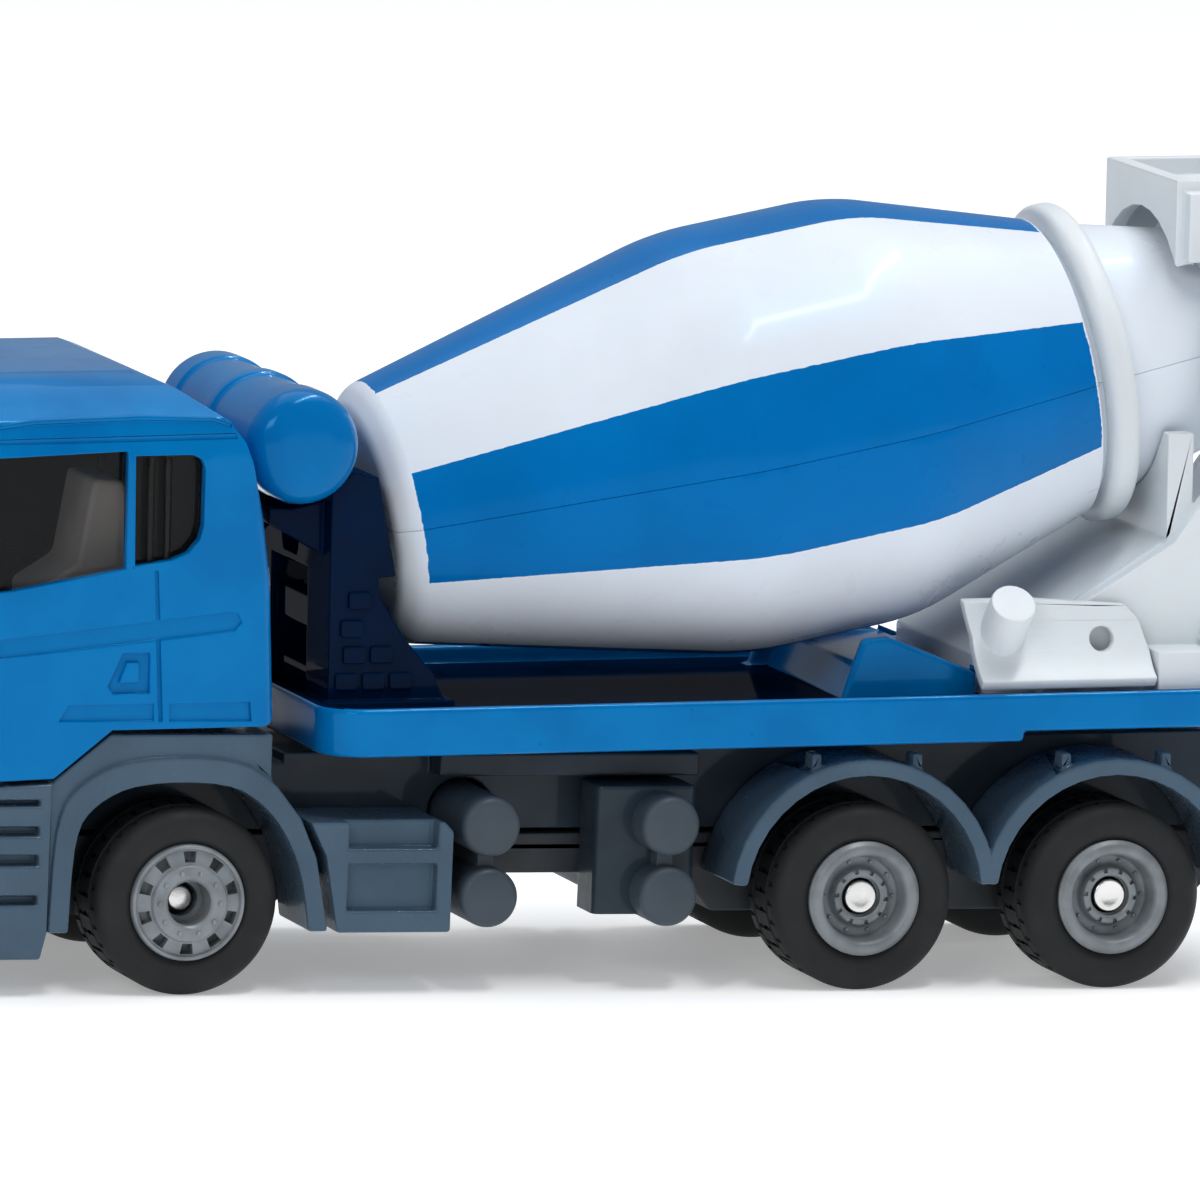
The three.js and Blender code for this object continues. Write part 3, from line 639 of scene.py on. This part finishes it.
def carried(node, name, body, finish_name, width, place=IN_TRUCK, segments=2, sharper_than=26):
    """A piece made from a CAD node, with its edges rounded."""
    bm = cad_copy(node, place)
    soften(bm, width, segments, sharper_than)
    return finish(bm, name, body, finish_name, place, [node])


# ---- wheels ------------------------------------------------------------------

TYRE_RADIUS = 6.0
TYRE_WIDTH = 6.5
TYRE_STEPS = 120
# Distance of a wheel's inner face from the middle of its axle.
WHEEL_INNER = 7.5
# The tyre from its bore, inner face first. Two narrow grooves run round the tread.
TYRE_PROFILE = [
    (3.75, 0.3), (4.1, 0.0), (5.1, 0.0), (5.72, 0.3), (6.0, 0.85), (6.0, 1.75), (5.8, 1.8), (5.8, 2.1),
    (6.0, 2.15), (6.0, 3.25), (6.0, 4.35), (5.8, 4.4), (5.8, 4.7), (6.0, 4.75), (6.0, 5.65), (5.72, 6.2),
    (5.1, 6.5), (4.1, 6.5), (3.75, 6.2),
]
TYRE_CORNERS = {1: 0.2, 2: 0.3, 3: 0.3, 15: 0.3, 16: 0.3, 17: 0.2}


def about_axle(face, steps):
    """A face's distance from the axle, and its column when a turn has that many steps."""
    at = face.calc_center_median()
    column = int((math.atan2(at.z, at.x) % math.tau) / math.tau * steps)
    return math.hypot(at.x, at.z), column


TREAD_MIDDLE = 1.2
NOTCH_EVERY = 4


def tread_notches(bm):
    """Pushes every fourth column of the tread inward, staggered between its middle and its outer rows."""
    rows = {0: [], 1: []}
    for face in bm.faces:
        radius, column = about_axle(face, TYRE_STEPS)
        if radius < TYRE_RADIUS - 0.03 or abs(face.normal.y) > 0.2:
            continue
        row = 0 if abs(face.calc_center_median().y - TYRE_WIDTH / 2) < TREAD_MIDDLE else 1
        if (column + row * 2) % NOTCH_EVERY == 0:
            rows[row].append(face)
    made = bmesh.ops.extrude_discrete_faces(bm, faces=rows[0] + rows[1])["faces"]
    inward = 1 - sizes().tread_depth / TYRE_RADIUS
    for face in made:
        bmesh.ops.scale(bm, vec=(inward, 1, inward), verts=list(face.verts))


def tyre():
    bm = turned(TYRE_PROFILE, TYRE_STEPS, TYRE_CORNERS)
    tread_notches(bm)
    return bm


# Both rims from the hub's bore outward, then back along the inside.
FRONT_RIM = [(1.42, 4.7), (1.42, 6.75), (1.6, 6.95), (2.4, 6.95), (2.52, 6.6), (3.38, 6.4), (3.46, 6.62),
             (3.66, 6.62), (3.75, 6.3), (3.75, 1.2), (1.1, 1.2), (1.1, 4.7)]
FRONT_RIM_CORNERS = {2: 0.08, 3: 0.1, 6: 0.08, 7: 0.1}
REAR_RIM = [(1.3, 5.3), (1.3, 5.75), (1.45, 5.85), (1.8, 5.85), (1.95, 5.1), (2.6, 5.1), (2.75, 6.45),
            (2.95, 6.72), (3.4, 6.72), (3.7, 6.4), (3.75, 1.2), (1.2, 1.2), (1.2, 5.3)]
REAR_RIM_CORNERS = {2: 0.06, 3: 0.1, 4: 0.2, 5: 0.15, 6: 0.15, 7: 0.12, 8: 0.15}
WHEEL_BOLTS = 10
RIM_STEPS = 80
RIM_PITCH = RIM_STEPS // WHEEL_BOLTS
WINDOW_RING = (2.6, 3.3)
WINDOW_DEPTH = 0.9
NOTCH_RING = (1.5, 1.8)
NOTCH_DEPTH = 0.25
# The rear rim's dish between these radii is given painted shade.
DISH_RING = (1.85, 2.78)


def ring_faces(bm, ring, columns=range(RIM_PITCH), facing=0.5):
    """Faces that look outward along the axle between two radii, in some columns of each nut's share."""
    picked = []
    for face in bm.faces:
        radius, column = about_axle(face, RIM_STEPS)
        if ring[0] < radius < ring[1] and face.normal.y > facing and column % RIM_PITCH in columns:
            picked.append(face)
    return picked


def bolts(radius, height, size):
    """Small hexagon nuts in a circle about the axle."""
    bm = bmesh.new()
    for i in range(WHEEL_BOLTS):
        turn = Matrix.Rotation(math.tau * i / WHEEL_BOLTS, 4, "Y")
        place = turn @ Matrix.Translation((radius, height, 0)) @ Matrix.Rotation(math.pi / 2, 4, "X")
        bmesh.ops.create_cone(bm, cap_ends=True, segments=6, radius1=size, radius2=size * 0.8, depth=0.3,
                              matrix=place @ Matrix.Scale(-1, 4, (0, 0, 1)))
    bmesh.ops.recalc_face_normals(bm, faces=bm.faces)
    soften(bm, 0.03, 1)
    return bm


def shade(faces):
    """Gives faces the piece's second material, the dark colour of painted shade in recesses."""
    for face in faces:
        face.material_index = 1


def front_rim():
    """Ten windows round a raised hub that carries ten nuts."""
    bm = turned(FRONT_RIM, RIM_STEPS, FRONT_RIM_CORNERS)
    windows = ring_faces(bm, WINDOW_RING, range(2, 6))
    bmesh.ops.inset_region(bm, faces=windows, thickness=0.08, depth=0.0, use_even_offset=True)
    shade(push(bm, windows, (0, -WINDOW_DEPTH, 0)))
    return gather(bm, bolts(2.0, 7.0, 0.2))


def rear_rim():
    """A rounded ring, a deep dish and a notched hub."""
    bm = turned(REAR_RIM, RIM_STEPS, REAR_RIM_CORNERS)
    notches = ring_faces(bm, NOTCH_RING, range(2))
    shade(push(bm, notches, (0, -NOTCH_DEPTH, 0)))
    shade(ring_faces(bm, DISH_RING, facing=0.05))
    return gather(bm, bolts(2.3, 5.15, 0.16))


def axle_shaft(node, rear):
    """A steel rod as long and as thick as the CAD node. The rear ones have a dimple in each end."""
    low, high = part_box(node)
    radius = (high.z - low.z) / 2 / MILLIMETRE
    end = high.y / MILLIMETRE
    profile = [(0, -end), (radius, -end), (radius, end), (0, end)]
    bm = turned(profile, 40, {1: 0.12, 2: 0.12})
    if rear:
        for side in (LEFT, RIGHT):
            faces = [f for f in bm.faces
                     if f.normal.y * side > 0.99 and f.calc_center_median().length > end * 0.9]
            bmesh.ops.inset_region(bm, faces=faces, thickness=0.35, depth=-0.08, use_even_offset=True)
    return bm


class MIXER_OT_wheels(bpy.types.Operator):
    """Six wheels with notched tyres, cast rims and steel axles"""
    bl_idname = "mixer.wheels"
    bl_label = "Wheels and axles"

    def execute(self, context):
        for axle in AXLES:
            front = axle == "front_axle"
            centre = Matrix.Translation(middle(f"{axle}_shaft")) @ Matrix.Scale(MILLIMETRE, 4)
            shaft = f"{axle}_shaft"
            finish(axle_shaft(shaft, not front), f"{axle}_pin", axle, "steel", centre, [shaft])
            for label, side in SIDES.items():
                outward = Matrix.Translation((0, WHEEL_INNER * side, 0))
                if side == LEFT:
                    outward = outward @ Matrix.Rotation(math.pi, 4, "Z")
                place = centre @ outward
                rim, rim_finish = (front_rim(), "front_rim") if front else (rear_rim(), "rear_rim")
                finish(rim, f"{axle}_wheel_{label}", axle, rim_finish, place, [f"{axle}_rim_{label}"],
                       smooth=30, also=["rim_shadow"])
                finish(tyre(), f"{axle}_rubber_{label}", axle, "tyre_rubber", place,
                       [f"{axle}_tyre_{label}"], smooth=35)
        return {"FINISHED"}


# ---- chassis -----------------------------------------------------------------

class MIXER_OT_chassis(bpy.types.Operator):
    """Frame rails, base plate and its two rivets"""
    bl_idname = "mixer.chassis"
    bl_label = "Chassis"

    def execute(self, context):
        edge = sizes().plastic_edge
        carried("chassis_frame", "frame_rails", "truck", "chassis_paint", edge)
        carried("base_plate", "under_plate", "truck", "dark_plastic", edge)
        for end in ("front", "rear"):
            carried(f"base_rivet_{end}", f"plate_rivet_{end}", "truck", "steel", 0.12)
        return {"FINISHED"}


class MIXER_OT_front_module(bpy.types.Operator):
    """Front wheel arches with their steps, the bumper and the lamps"""
    bl_idname = "mixer.front_module"
    bl_label = "Front arches, steps and bumper"

    def execute(self, context):
        edge = sizes().paint_edge
        carried("cab_base", "front_arches", "truck", "grey_paint", edge * 0.6)
        carried("front_bumper", "bumper", "truck", "grey_paint", edge)
        for label in SIDES:
            carried(f"headlight_{label}", f"lamp_{label}", "truck", "clear_lens", 0.1)
        return {"FINISHED"}


class MIXER_OT_side_boxes(bpy.types.Operator):
    """Boxes behind the front wheels"""
    bl_idname = "mixer.side_boxes"
    bl_label = "Side boxes"

    def execute(self, context):
        for label in SIDES:
            carried(f"side_box_{label}", f"locker_{label}", "truck", "grey_paint", 0.18)
        return {"FINISHED"}


TANK_ENDS = {"front": 20.0, "rear": 32.0}
TANK_HEIGHTS = (10.7, 6.15)
TANK_RADIUS = 1.93
TANK_HALF = 14.0
WEB_HALF = 0.55
WEB_HEIGHTS = (7.0, 9.9)
HOUSING = [(27.7, 7.6), (34.4, 7.6), (34.4, 11.4), (27.7, 11.4)]
HOUSING_HEIGHTS = (4.7, 13.0)


def oblong(left, right, low, high):
    return [(left, low), (right, low), (right, high), (left, high)]


def tank_pair(x):
    """Two tanks with domed ends, one above the other, and the webs between their ends."""
    rim = TANK_HALF - 0.12
    profile = [(0, TANK_HALF), (TANK_RADIUS, rim), (TANK_RADIUS, -rim), (0, -TANK_HALF)]
    tanks = [moved(turned(profile, 56, {1: 0.5, 2: 0.5}, segments=5), Matrix.Translation((x, 0, z)))
             for z in TANK_HEIGHTS]
    web = slab("Y", oblong(x - WEB_HALF, x + WEB_HALF, *WEB_HEIGHTS), (7.6, 12.6))
    return gather(*tanks, across(web))


class MIXER_OT_air_tanks(bpy.types.Operator):
    """Two pairs of air tanks across the chassis, the rear pair in a housing"""
    bl_idname = "mixer.air_tanks"
    bl_label = "Air tanks"

    def execute(self, context):
        for end, x in TANK_ENDS.items():
            finish(tank_pair(x), f"tank_pair_{end}", "truck", "tank_plastic", IN_TRUCK,
                   [f"air_tanks_{end}"])
        housing = slab("Z", HOUSING, HOUSING_HEIGHTS, corner=0.5, width=0.3)
        finish(across(housing), "tank_housing", "truck", "chassis_paint")
        return {"FINISHED"}


class MIXER_OT_rear_fenders(bpy.types.Operator):
    """Double fenders over the rear wheels"""
    bl_idname = "mixer.rear_fenders"
    bl_label = "Rear fenders"

    def execute(self, context):
        for label in SIDES:
            carried(f"rear_fender_{label}", f"fender_{label}", "truck", "grey_paint", 0.22)
        return {"FINISHED"}


# ---- body --------------------------------------------------------------------

# Rounding of the cab's upright rear corners, and of all its finer edges.
CAB_CORNER = 0.8
CAB_DETAIL = 0.09


def on_rear_corner(vert):
    return vert.co.x > 3.7 and abs(vert.co.y) > 13.7 and vert.co.z > 17


class MIXER_OT_cab(bpy.types.Operator):
    """The cab's painted casting and its grille"""
    bl_idname = "mixer.cab"
    bl_label = "Cab"

    def execute(self, context):
        bm = cad_copy("cab_shell", IN_BODY)
        corners = [e for e in bm.edges if all(on_rear_corner(v) for v in e.verts)]
        soften(bm, CAB_CORNER, 5, 26, corners)
        soften(bm, CAB_DETAIL, 2, 26, [e for e in bm.edges if e.calc_length() > CAB_DETAIL])
        finish(bm, "cab_casting", "truck", "blue_paint", IN_BODY, ["cab_shell"])
        carried("front_grille", "grille", "truck", "dark_plastic", 0.05, IN_BODY)
        return {"FINISHED"}


FRONT_PANE = [(-13.6, 25.9), (-11.9, 26.1), (-6.6, 27.0), (-4.6, 27.35), (-4.55, 34.8), (-13.0, 34.5)]
REAR_PANE = [(-4.0, 27.5), (-1.6, 27.85), (-0.5, 28.3), (0.2, 29.1), (0.45, 30.0), (0.5, 33.6),
             (0.3, 34.2), (-0.3, 34.5), (-4.05, 34.5)]
BARS_AT = (-2.9, -1.8)
BAR_HALF = 0.18
WINDSCREEN = [(-12.1, 26.1), (12.1, 26.1), (11.7, 35.0), (-11.7, 35.0)]
WINDSCREEN_FOOT = Vector((-16.35, 0, 25.6))
WINDSCREEN_LEAN = math.atan2(1.7, 10.0)
CAB_SIDE = 13.8


def side_glass(side):
    """Panes and two upright bars on one side of the cab."""
    outer = CAB_SIDE - sizes().pane_recess
    span = sorted((side * outer, side * (outer - 0.7)))
    panes = [slab("Y", points, span, width=0.08) for points in (FRONT_PANE, REAR_PANE)]
    bar_span = sorted((side * (outer + 0.25), side * (outer - 0.2)))
    bars = []
    for x in BARS_AT:
        left, right = x - BAR_HALF, x + BAR_HALF
        points = [(left, 27.7), (right, 27.75), (right, 34.3), (left, 34.3)]
        bars.append(slab("Y", points, bar_span, width=0.08))
    return gather(*panes, *bars)


def windscreen():
    bm = slab("X", WINDSCREEN, (0.35, 1.1), corner=0.6, width=0.08)
    lean = (Matrix.Translation(WINDSCREEN_FOOT) @ Matrix.Rotation(WINDSCREEN_LEAN, 4, "Y")
            @ Matrix.Translation((0, 0, -WINDSCREEN_FOOT.z)))
    return moved(bm, lean)


class MIXER_OT_glazing(bpy.types.Operator):
    """Dark tinted glass in the cab's openings"""
    bl_idname = "mixer.glazing"
    bl_label = "Cab glass"

    def execute(self, context):
        glass = gather(side_glass(LEFT), side_glass(RIGHT), windscreen())
        finish(glass, "cab_glass", "truck", "tinted_glass", IN_BODY, ["cab_glazing"])
        return {"FINISHED"}


# A black sheet of painted shade that darkens the cab's inside: a wall behind the seats and a spine between
# them.
SHADE_WALL = oblong(-12.0, 12.0, 19.4, 37.0)
SHADE_SPINE = [(-13.0, 19.4), (-2.4, 19.4), (-2.4, 37.6), (-12.0, 37.6)]


class MIXER_OT_cab_interior(bpy.types.Operator):
    """Seats, dashboard and a black sheet of painted shade behind them"""
    bl_idname = "mixer.cab_interior"
    bl_label = "Cab interior"

    def execute(self, context):
        carried("cab_interior", "seats", "truck", "seat_plastic", 0.35, IN_BODY, segments=3)
        # A black sheet put where the cab's inside is only in shade: painted shade, no part of the toy.
        wall = slab("X", SHADE_WALL, (-2.3, 1.4))
        spine = slab("Y", SHADE_SPINE, (-0.6, 0.6))
        finish(gather(wall, spine), "cab_painted_shade", "truck", "painted_shade_black", IN_BODY)
        return {"FINISHED"}


# The deck's bed takes the pedestal's dark navy, a painted shadow of the drum above it and of its dark
# reflection.
DECK_BED = 16.9
DECK_REAR = 74.8
DECK_BED_SIDE = 13.2 * MILLIMETRE


class MIXER_OT_deck(bpy.types.Operator):
    """The painted deck with its rail and steps"""
    bl_idname = "mixer.deck"
    bl_label = "Deck"

    def execute(self, context):
        edge = sizes().paint_edge
        deck = carried("deck", "deck_casting", "truck", "blue_paint", edge, IN_BODY, segments=3)
        # The bed's upward faces get the dark navy as a painted shadow of the drum.
        deck.data.materials.append(material("painted_shade_blue"))
        low = (IN_BODY @ Vector((0, 0, DECK_BED - 0.3))).z
        high = (IN_BODY @ Vector((DECK_REAR, 0, DECK_BED + 0.3))).z
        for face in deck.data.polygons:
            if face.normal.z > 0.9 and low < face.center.z < high and abs(face.center.y) < DECK_BED_SIDE:
                face.material_index = 1
        return {"FINISHED"}


# Lower front corners of the raised pads on each leg of the pedestal.
PEDESTAL_PADS = [(10.7, 18.6), (12.5, 18.6), (14.3, 18.6), (11.2, 20.3), (13.0, 20.3), (11.0, 22.0),
                 (11.5, 23.8)]
PAD_LENGTH = 1.5
PAD_HEIGHT = 1.1


class MIXER_OT_pedestal(bpy.types.Operator):
    """The drum's front pedestal"""
    bl_idname = "mixer.pedestal"
    bl_label = "Drum pedestal"

    def execute(self, context):
        bm = cad_copy("drum_pedestal", IN_BODY)
        soften(bm, 0.14)
        pads = [slab("Y", oblong(x, x + PAD_LENGTH, z, z + PAD_HEIGHT), (8.9, 9.3), corner=0.2, width=0.1)
                for x, z in PEDESTAL_PADS]
        # The casting is finished in dark navy, a painted shade.
        finish(gather(bm, across(gather(*pads))), "pedestal_casting", "truck", "painted_shade_blue", IN_BODY,
               ["drum_pedestal"])
        return {"FINISHED"}


WATER_TANK_CENTRE = Vector((8.0, 0, 34.4))
# From the domed end inward: the end cap, the body and the middle band.
WATER_TANK_HALF = [(0, 11.5), (2.2, 11.4), (3.3, 10.9), (3.7, 10.0), (3.7, 7.4), (3.5, 7.2), (3.5, 1.0),
                   (3.72, 0.8)]
# From end to end.
WATER_TANK_CORNERS = {1: 0.6, 2: 0.4, 3: 0.4, **{i: 0.1 for i in range(4, 12)}, 12: 0.4, 13: 0.4, 14: 0.6}


class MIXER_OT_water_tank(bpy.types.Operator):
    """The round water tank behind the cab"""
    bl_idname = "mixer.water_tank"
    bl_label = "Water tank"

    def execute(self, context):
        other = [(radius, -place) for radius, place in reversed(WATER_TANK_HALF)]
        bm = turned(WATER_TANK_HALF + other, 72, WATER_TANK_CORNERS, segments=4)
        moved(bm, Matrix.Translation(WATER_TANK_CENTRE))
        finish(bm, "round_tank", "truck", "blue_paint", IN_BODY, ["water_tank"])
        return {"FINISHED"}


# ---- drum --------------------------------------------------------------------

# The shell from its front wall along the outside to the mouth, and back along the inside.
DRUM_PROFILE = [
    (0, 0), (7.3, 0), (8.5, 1.2), (13.9, 23.0), (13.9, 34.5), (9.8, 47.2), (9.0, 47.2), (9.0, 49.7),
    (7.2, 56.8), (8.0, 57.3), (8.0, 58.6), (7.7, 58.8), (6.3, 58.8), (6.3, 56.6), (8.0, 49.8), (8.0, 46.9),
    (12.9, 34.2), (12.9, 23.2), (7.6, 1.6), (0, 1.0),
]
DRUM_CORNERS = {1: 0.5, 2: 0.5, 3: 2.0, 4: 2.0, 9: 0.25, 10: 0.2, 11: 0.1, 12: 0.15}
DRUM_STEPS = 72
HATCH_AT = 15.3
HATCH_RADIUS = 2.4
HATCH_HEIGHT = 0.28
# The hatch's rim and flat top, as shares of its radius and height.
HATCH_RIM_AT = 0.85
HATCH_RIM_WIDTH = 0.13
HATCH_TOP_REACH = 0.8
HATCH_TOP_SHARE = 0.4
# The hatch only touches faces this high above the drum's axis.
HATCH_FROM = 8
COLLAR = [(9.0, 47.8), (10.5, 47.8), (10.5, 49.7), (9.0, 49.7)]
PIN = [(0, -2.8), (1.5, -2.8), (1.5, -0.05), (0, -0.05)]


def drum_half():
    """The upper half shell, turned half round the drum's own axis, its edges rounded along the seam."""
    bm = turned(DRUM_PROFILE, DRUM_STEPS, DRUM_CORNERS, segments=5, angle=math.pi)
    moved(bm, Y_TO_X)
    if max(v.co.z for v in bm.verts) < 1:
        moved(bm, Matrix.Rotation(math.pi, 4, "X"))
    seam = sizes().shell_seam / 2
    bmesh.ops.translate(bm, vec=(0, 0, seam), verts=bm.verts)
    edges = [e for e in bm.edges if all(abs(v.co.z - seam) < 1e-3 for v in e.verts)]
    soften(bm, 0.05, 2, 40, edges)
    return bm


def emboss_hatch(bm):
    """Raises a round hatch with a rim on the front cone, where the shell faces straight up."""
    def reach(v):
        return math.hypot(v.co.x - HATCH_AT, v.co.y)

    near = [e for e in bm.edges
            if all(reach(v) < HATCH_RADIUS * 3.2 and v.co.z > HATCH_FROM for v in e.verts)
            and e.calc_length() > 0.02]
    bmesh.ops.subdivide_edges(bm, edges=near, cuts=11, use_grid_fill=True)
    bm.normal_update()
    for v in bm.verts:
        distance = reach(v) / HATCH_RADIUS
        if v.normal.z < 0.5 or v.co.z < HATCH_FROM or distance > 1.2:
            continue
        rim = math.exp(-((distance - HATCH_RIM_AT) / HATCH_RIM_WIDTH) ** 2)
        top = HATCH_TOP_SHARE if distance < HATCH_TOP_REACH else 0
        v.co.z += HATCH_HEIGHT * max(rim, top)


class MIXER_OT_drum(bpy.types.Operator):
    """The printed mixing drum in two shells, with its collar and front pin"""
    bl_idname = "mixer.drum"
    bl_label = "Mixing drum"

    def execute(self, context):
        upper = drum_half()
        emboss_hatch(upper)
        lower = moved(drum_half(), Matrix.Rotation(math.pi, 4, "X"))
        finish(upper, "drum_upper_shell", "drum", "drum_plastic", IN_DRUM, ["drum_shell_upper"])
        finish(lower, "drum_lower_shell", "drum", "drum_plastic", IN_DRUM, ["drum_shell_lower"])
        collar = moved(turned(COLLAR, 120, {1: 0.7, 2: 0.7}, segments=6), Y_TO_X)
        finish(collar, "drum_ring", "drum", "white_plastic", IN_DRUM, ["drum_collar"])
        pin = moved(turned(PIN, 32, {1: 0.35}), Y_TO_X)
        finish(pin, "drum_front_pin", "drum", "white_plastic", IN_DRUM, ["drum_pin"])
        return {"FINISHED"}


# ---- rear --------------------------------------------------------------------

class MIXER_OT_rear_frame(bpy.types.Operator):
    """The moulded frame that carries the drum's neck and the hopper"""
    bl_idname = "mixer.rear_frame"
    bl_label = "Rear frame and hopper"

    def execute(self, context):
        edge = sizes().plastic_edge
        carried("rear_frame", "rear_moulding", "truck", "white_plastic", edge, IN_BODY)
        carried("hopper", "feed_hopper", "truck", "white_plastic", edge, IN_BODY)
        return {"FINISHED"}


class MIXER_OT_chutes(bpy.types.Operator):
    """The swivelling chute, its bracket and the spare length on the rail"""
    bl_idname = "mixer.chutes"
    bl_label = "Chutes"

    def execute(self, context):
        edge = sizes().plastic_edge
        fine_edge = edge * 0.7
        carried("chute_bracket", "chute_fork", "chute", "white_plastic", fine_edge, IN_BODY)
        carried("chute_main", "chute_trough", "chute", "white_plastic", fine_edge, IN_BODY)
        carried("spare_chute", "spare_trough", "spare_chute_piece", "white_plastic", edge, IN_BODY)
        return {"FINISHED"}


# ---- stage -------------------------------------------------------------------

# Where each lamp stands and what it aims at in metres, its size in metres and its power in watts.
LAMPS = {
    "overhead": ((0.1, 0.15, 0.95), (0, 0, 0), (1.2, 1.0), 3.6),
    "overhead_strip": ((0.2, -0.12, 0.9), (0, 0, 0.02), (0.9, 0.03), 5.0),
    "front_left": ((-0.7, -0.9, 0.55), (0, 0, 0.02), (0.5, 0.3), 2.6),
    "rear_edge": ((1.0, 0.3, 0.2), (0, 0, 0.03), (0.04, 0.6), 2.0),
}
SKY_COLOUR = (0.86, 0.93, 1.0, 1.0)
SKY_STRENGTH = 0.32


def area_light(name, place, aim, size, power):
    data = bpy.data.lights.new(name, "AREA")
    data.shape = "RECTANGLE"
    data.size, data.size_y = size
    data.energy = power
    lamp = bpy.data.objects.new(name, data)
    lamp.location = place
    lamp.visible_camera = False
    lamp.rotation_euler = (Vector(aim) - Vector(place)).to_track_quat("-Z", "Y").to_euler()
    bpy.context.scene.collection.objects.link(lamp)


class MIXER_OT_stage(bpy.types.Operator):
    """The floor, the soft lights and the camera"""
    bl_idname = "mixer.stage"
    bl_label = "Stage"

    def execute(self, context):
        stage = context.scene.mixer_stage
        self.floor(stage)
        self.world(context.scene)
        for name, lamp in LAMPS.items():
            area_light(name, *lamp)
        self.camera(context.scene, stage)
        context.scene.view_settings.view_transform = "Standard"
        return {"FINISHED"}

    def floor(self, stage):
        bm = bmesh.new()
        bmesh.ops.create_grid(bm, x_segments=8, y_segments=8, size=stage.floor_size / 2)
        mesh = bpy.data.meshes.new("floor")
        bm.to_mesh(mesh)
        bm.free()
        mesh.materials.append(material("floor"))
        floor = bpy.data.objects.new("floor", mesh)
        bpy.context.scene.collection.objects.link(floor)

    def world(self, scene):
        world = bpy.data.worlds.new("studio")
        world.use_nodes = True
        background = world.node_tree.nodes["Background"]
        background.inputs["Color"].default_value = SKY_COLOUR
        background.inputs["Strength"].default_value = SKY_STRENGTH
        scene.world = world

    def camera(self, scene, stage):
        data = bpy.data.cameras.new("camera")
        data.sensor_width = 36.0
        data.lens = stage.lens
        data.clip_start, data.clip_end = 0.05, 20.0
        camera = bpy.data.objects.new("camera", data)
        level = math.cos(stage.elevation)
        back = Vector((math.sin(stage.azimuth) * level, -math.cos(stage.azimuth) * level,
                       math.sin(stage.elevation)))
        camera.location = Vector(stage.aim) + back * stage.distance
        facing = (-back).to_track_quat("-Z", "Y")
        camera.rotation_euler = (facing.to_matrix() @ Matrix.Rotation(stage.roll, 3, "Z")).to_euler()
        scene.collection.objects.link(camera)
        scene.camera = camera


# ---- add-on ------------------------------------------------------------------

STEPS = (MIXER_OT_stage, MIXER_OT_chassis, MIXER_OT_wheels, MIXER_OT_front_module, MIXER_OT_side_boxes,
         MIXER_OT_air_tanks, MIXER_OT_rear_fenders, MIXER_OT_cab, MIXER_OT_glazing, MIXER_OT_cab_interior,
         MIXER_OT_deck, MIXER_OT_pedestal, MIXER_OT_water_tank, MIXER_OT_drum, MIXER_OT_rear_frame,
         MIXER_OT_chutes)


class MIXER_PT_panel(bpy.types.Panel):
    """Lists the steps that build the toy"""
    bl_idname = "MIXER_PT_panel"
    bl_label = "Toy cement mixer"
    bl_space_type = "VIEW_3D"
    bl_region_type = "UI"
    bl_category = "Mixer"

    def draw(self, context):
        for step in STEPS:
            self.layout.operator(step.bl_idname)
        for group in SETTINGS:
            settings = getattr(context.scene, group)
            for name in settings.bl_rna.properties.keys():
                if name not in ("rna_type", "name"):
                    self.layout.prop(settings, name)


SETTINGS = {"mixer_colours": MixerColours, "mixer_sizes": MixerSizes, "mixer_stage": MixerStage}


def register():
    for settings in SETTINGS.values():
        bpy.utils.register_class(settings)
    for name, settings in SETTINGS.items():
        setattr(bpy.types.Scene, name, bpy.props.PointerProperty(type=settings))
    for step in STEPS:
        bpy.utils.register_class(step)
    bpy.utils.register_class(MIXER_PT_panel)


def unregister():
    bpy.utils.unregister_class(MIXER_PT_panel)
    for step in reversed(STEPS):
        bpy.utils.unregister_class(step)
    for name, settings in SETTINGS.items():
        delattr(bpy.types.Scene, name)
        bpy.utils.unregister_class(settings)


def main():
    register()
    for step in STEPS:
        section, name = step.bl_idname.split(".")
        getattr(getattr(bpy.ops, section), name)()


if __name__ == "__main__":
    main()
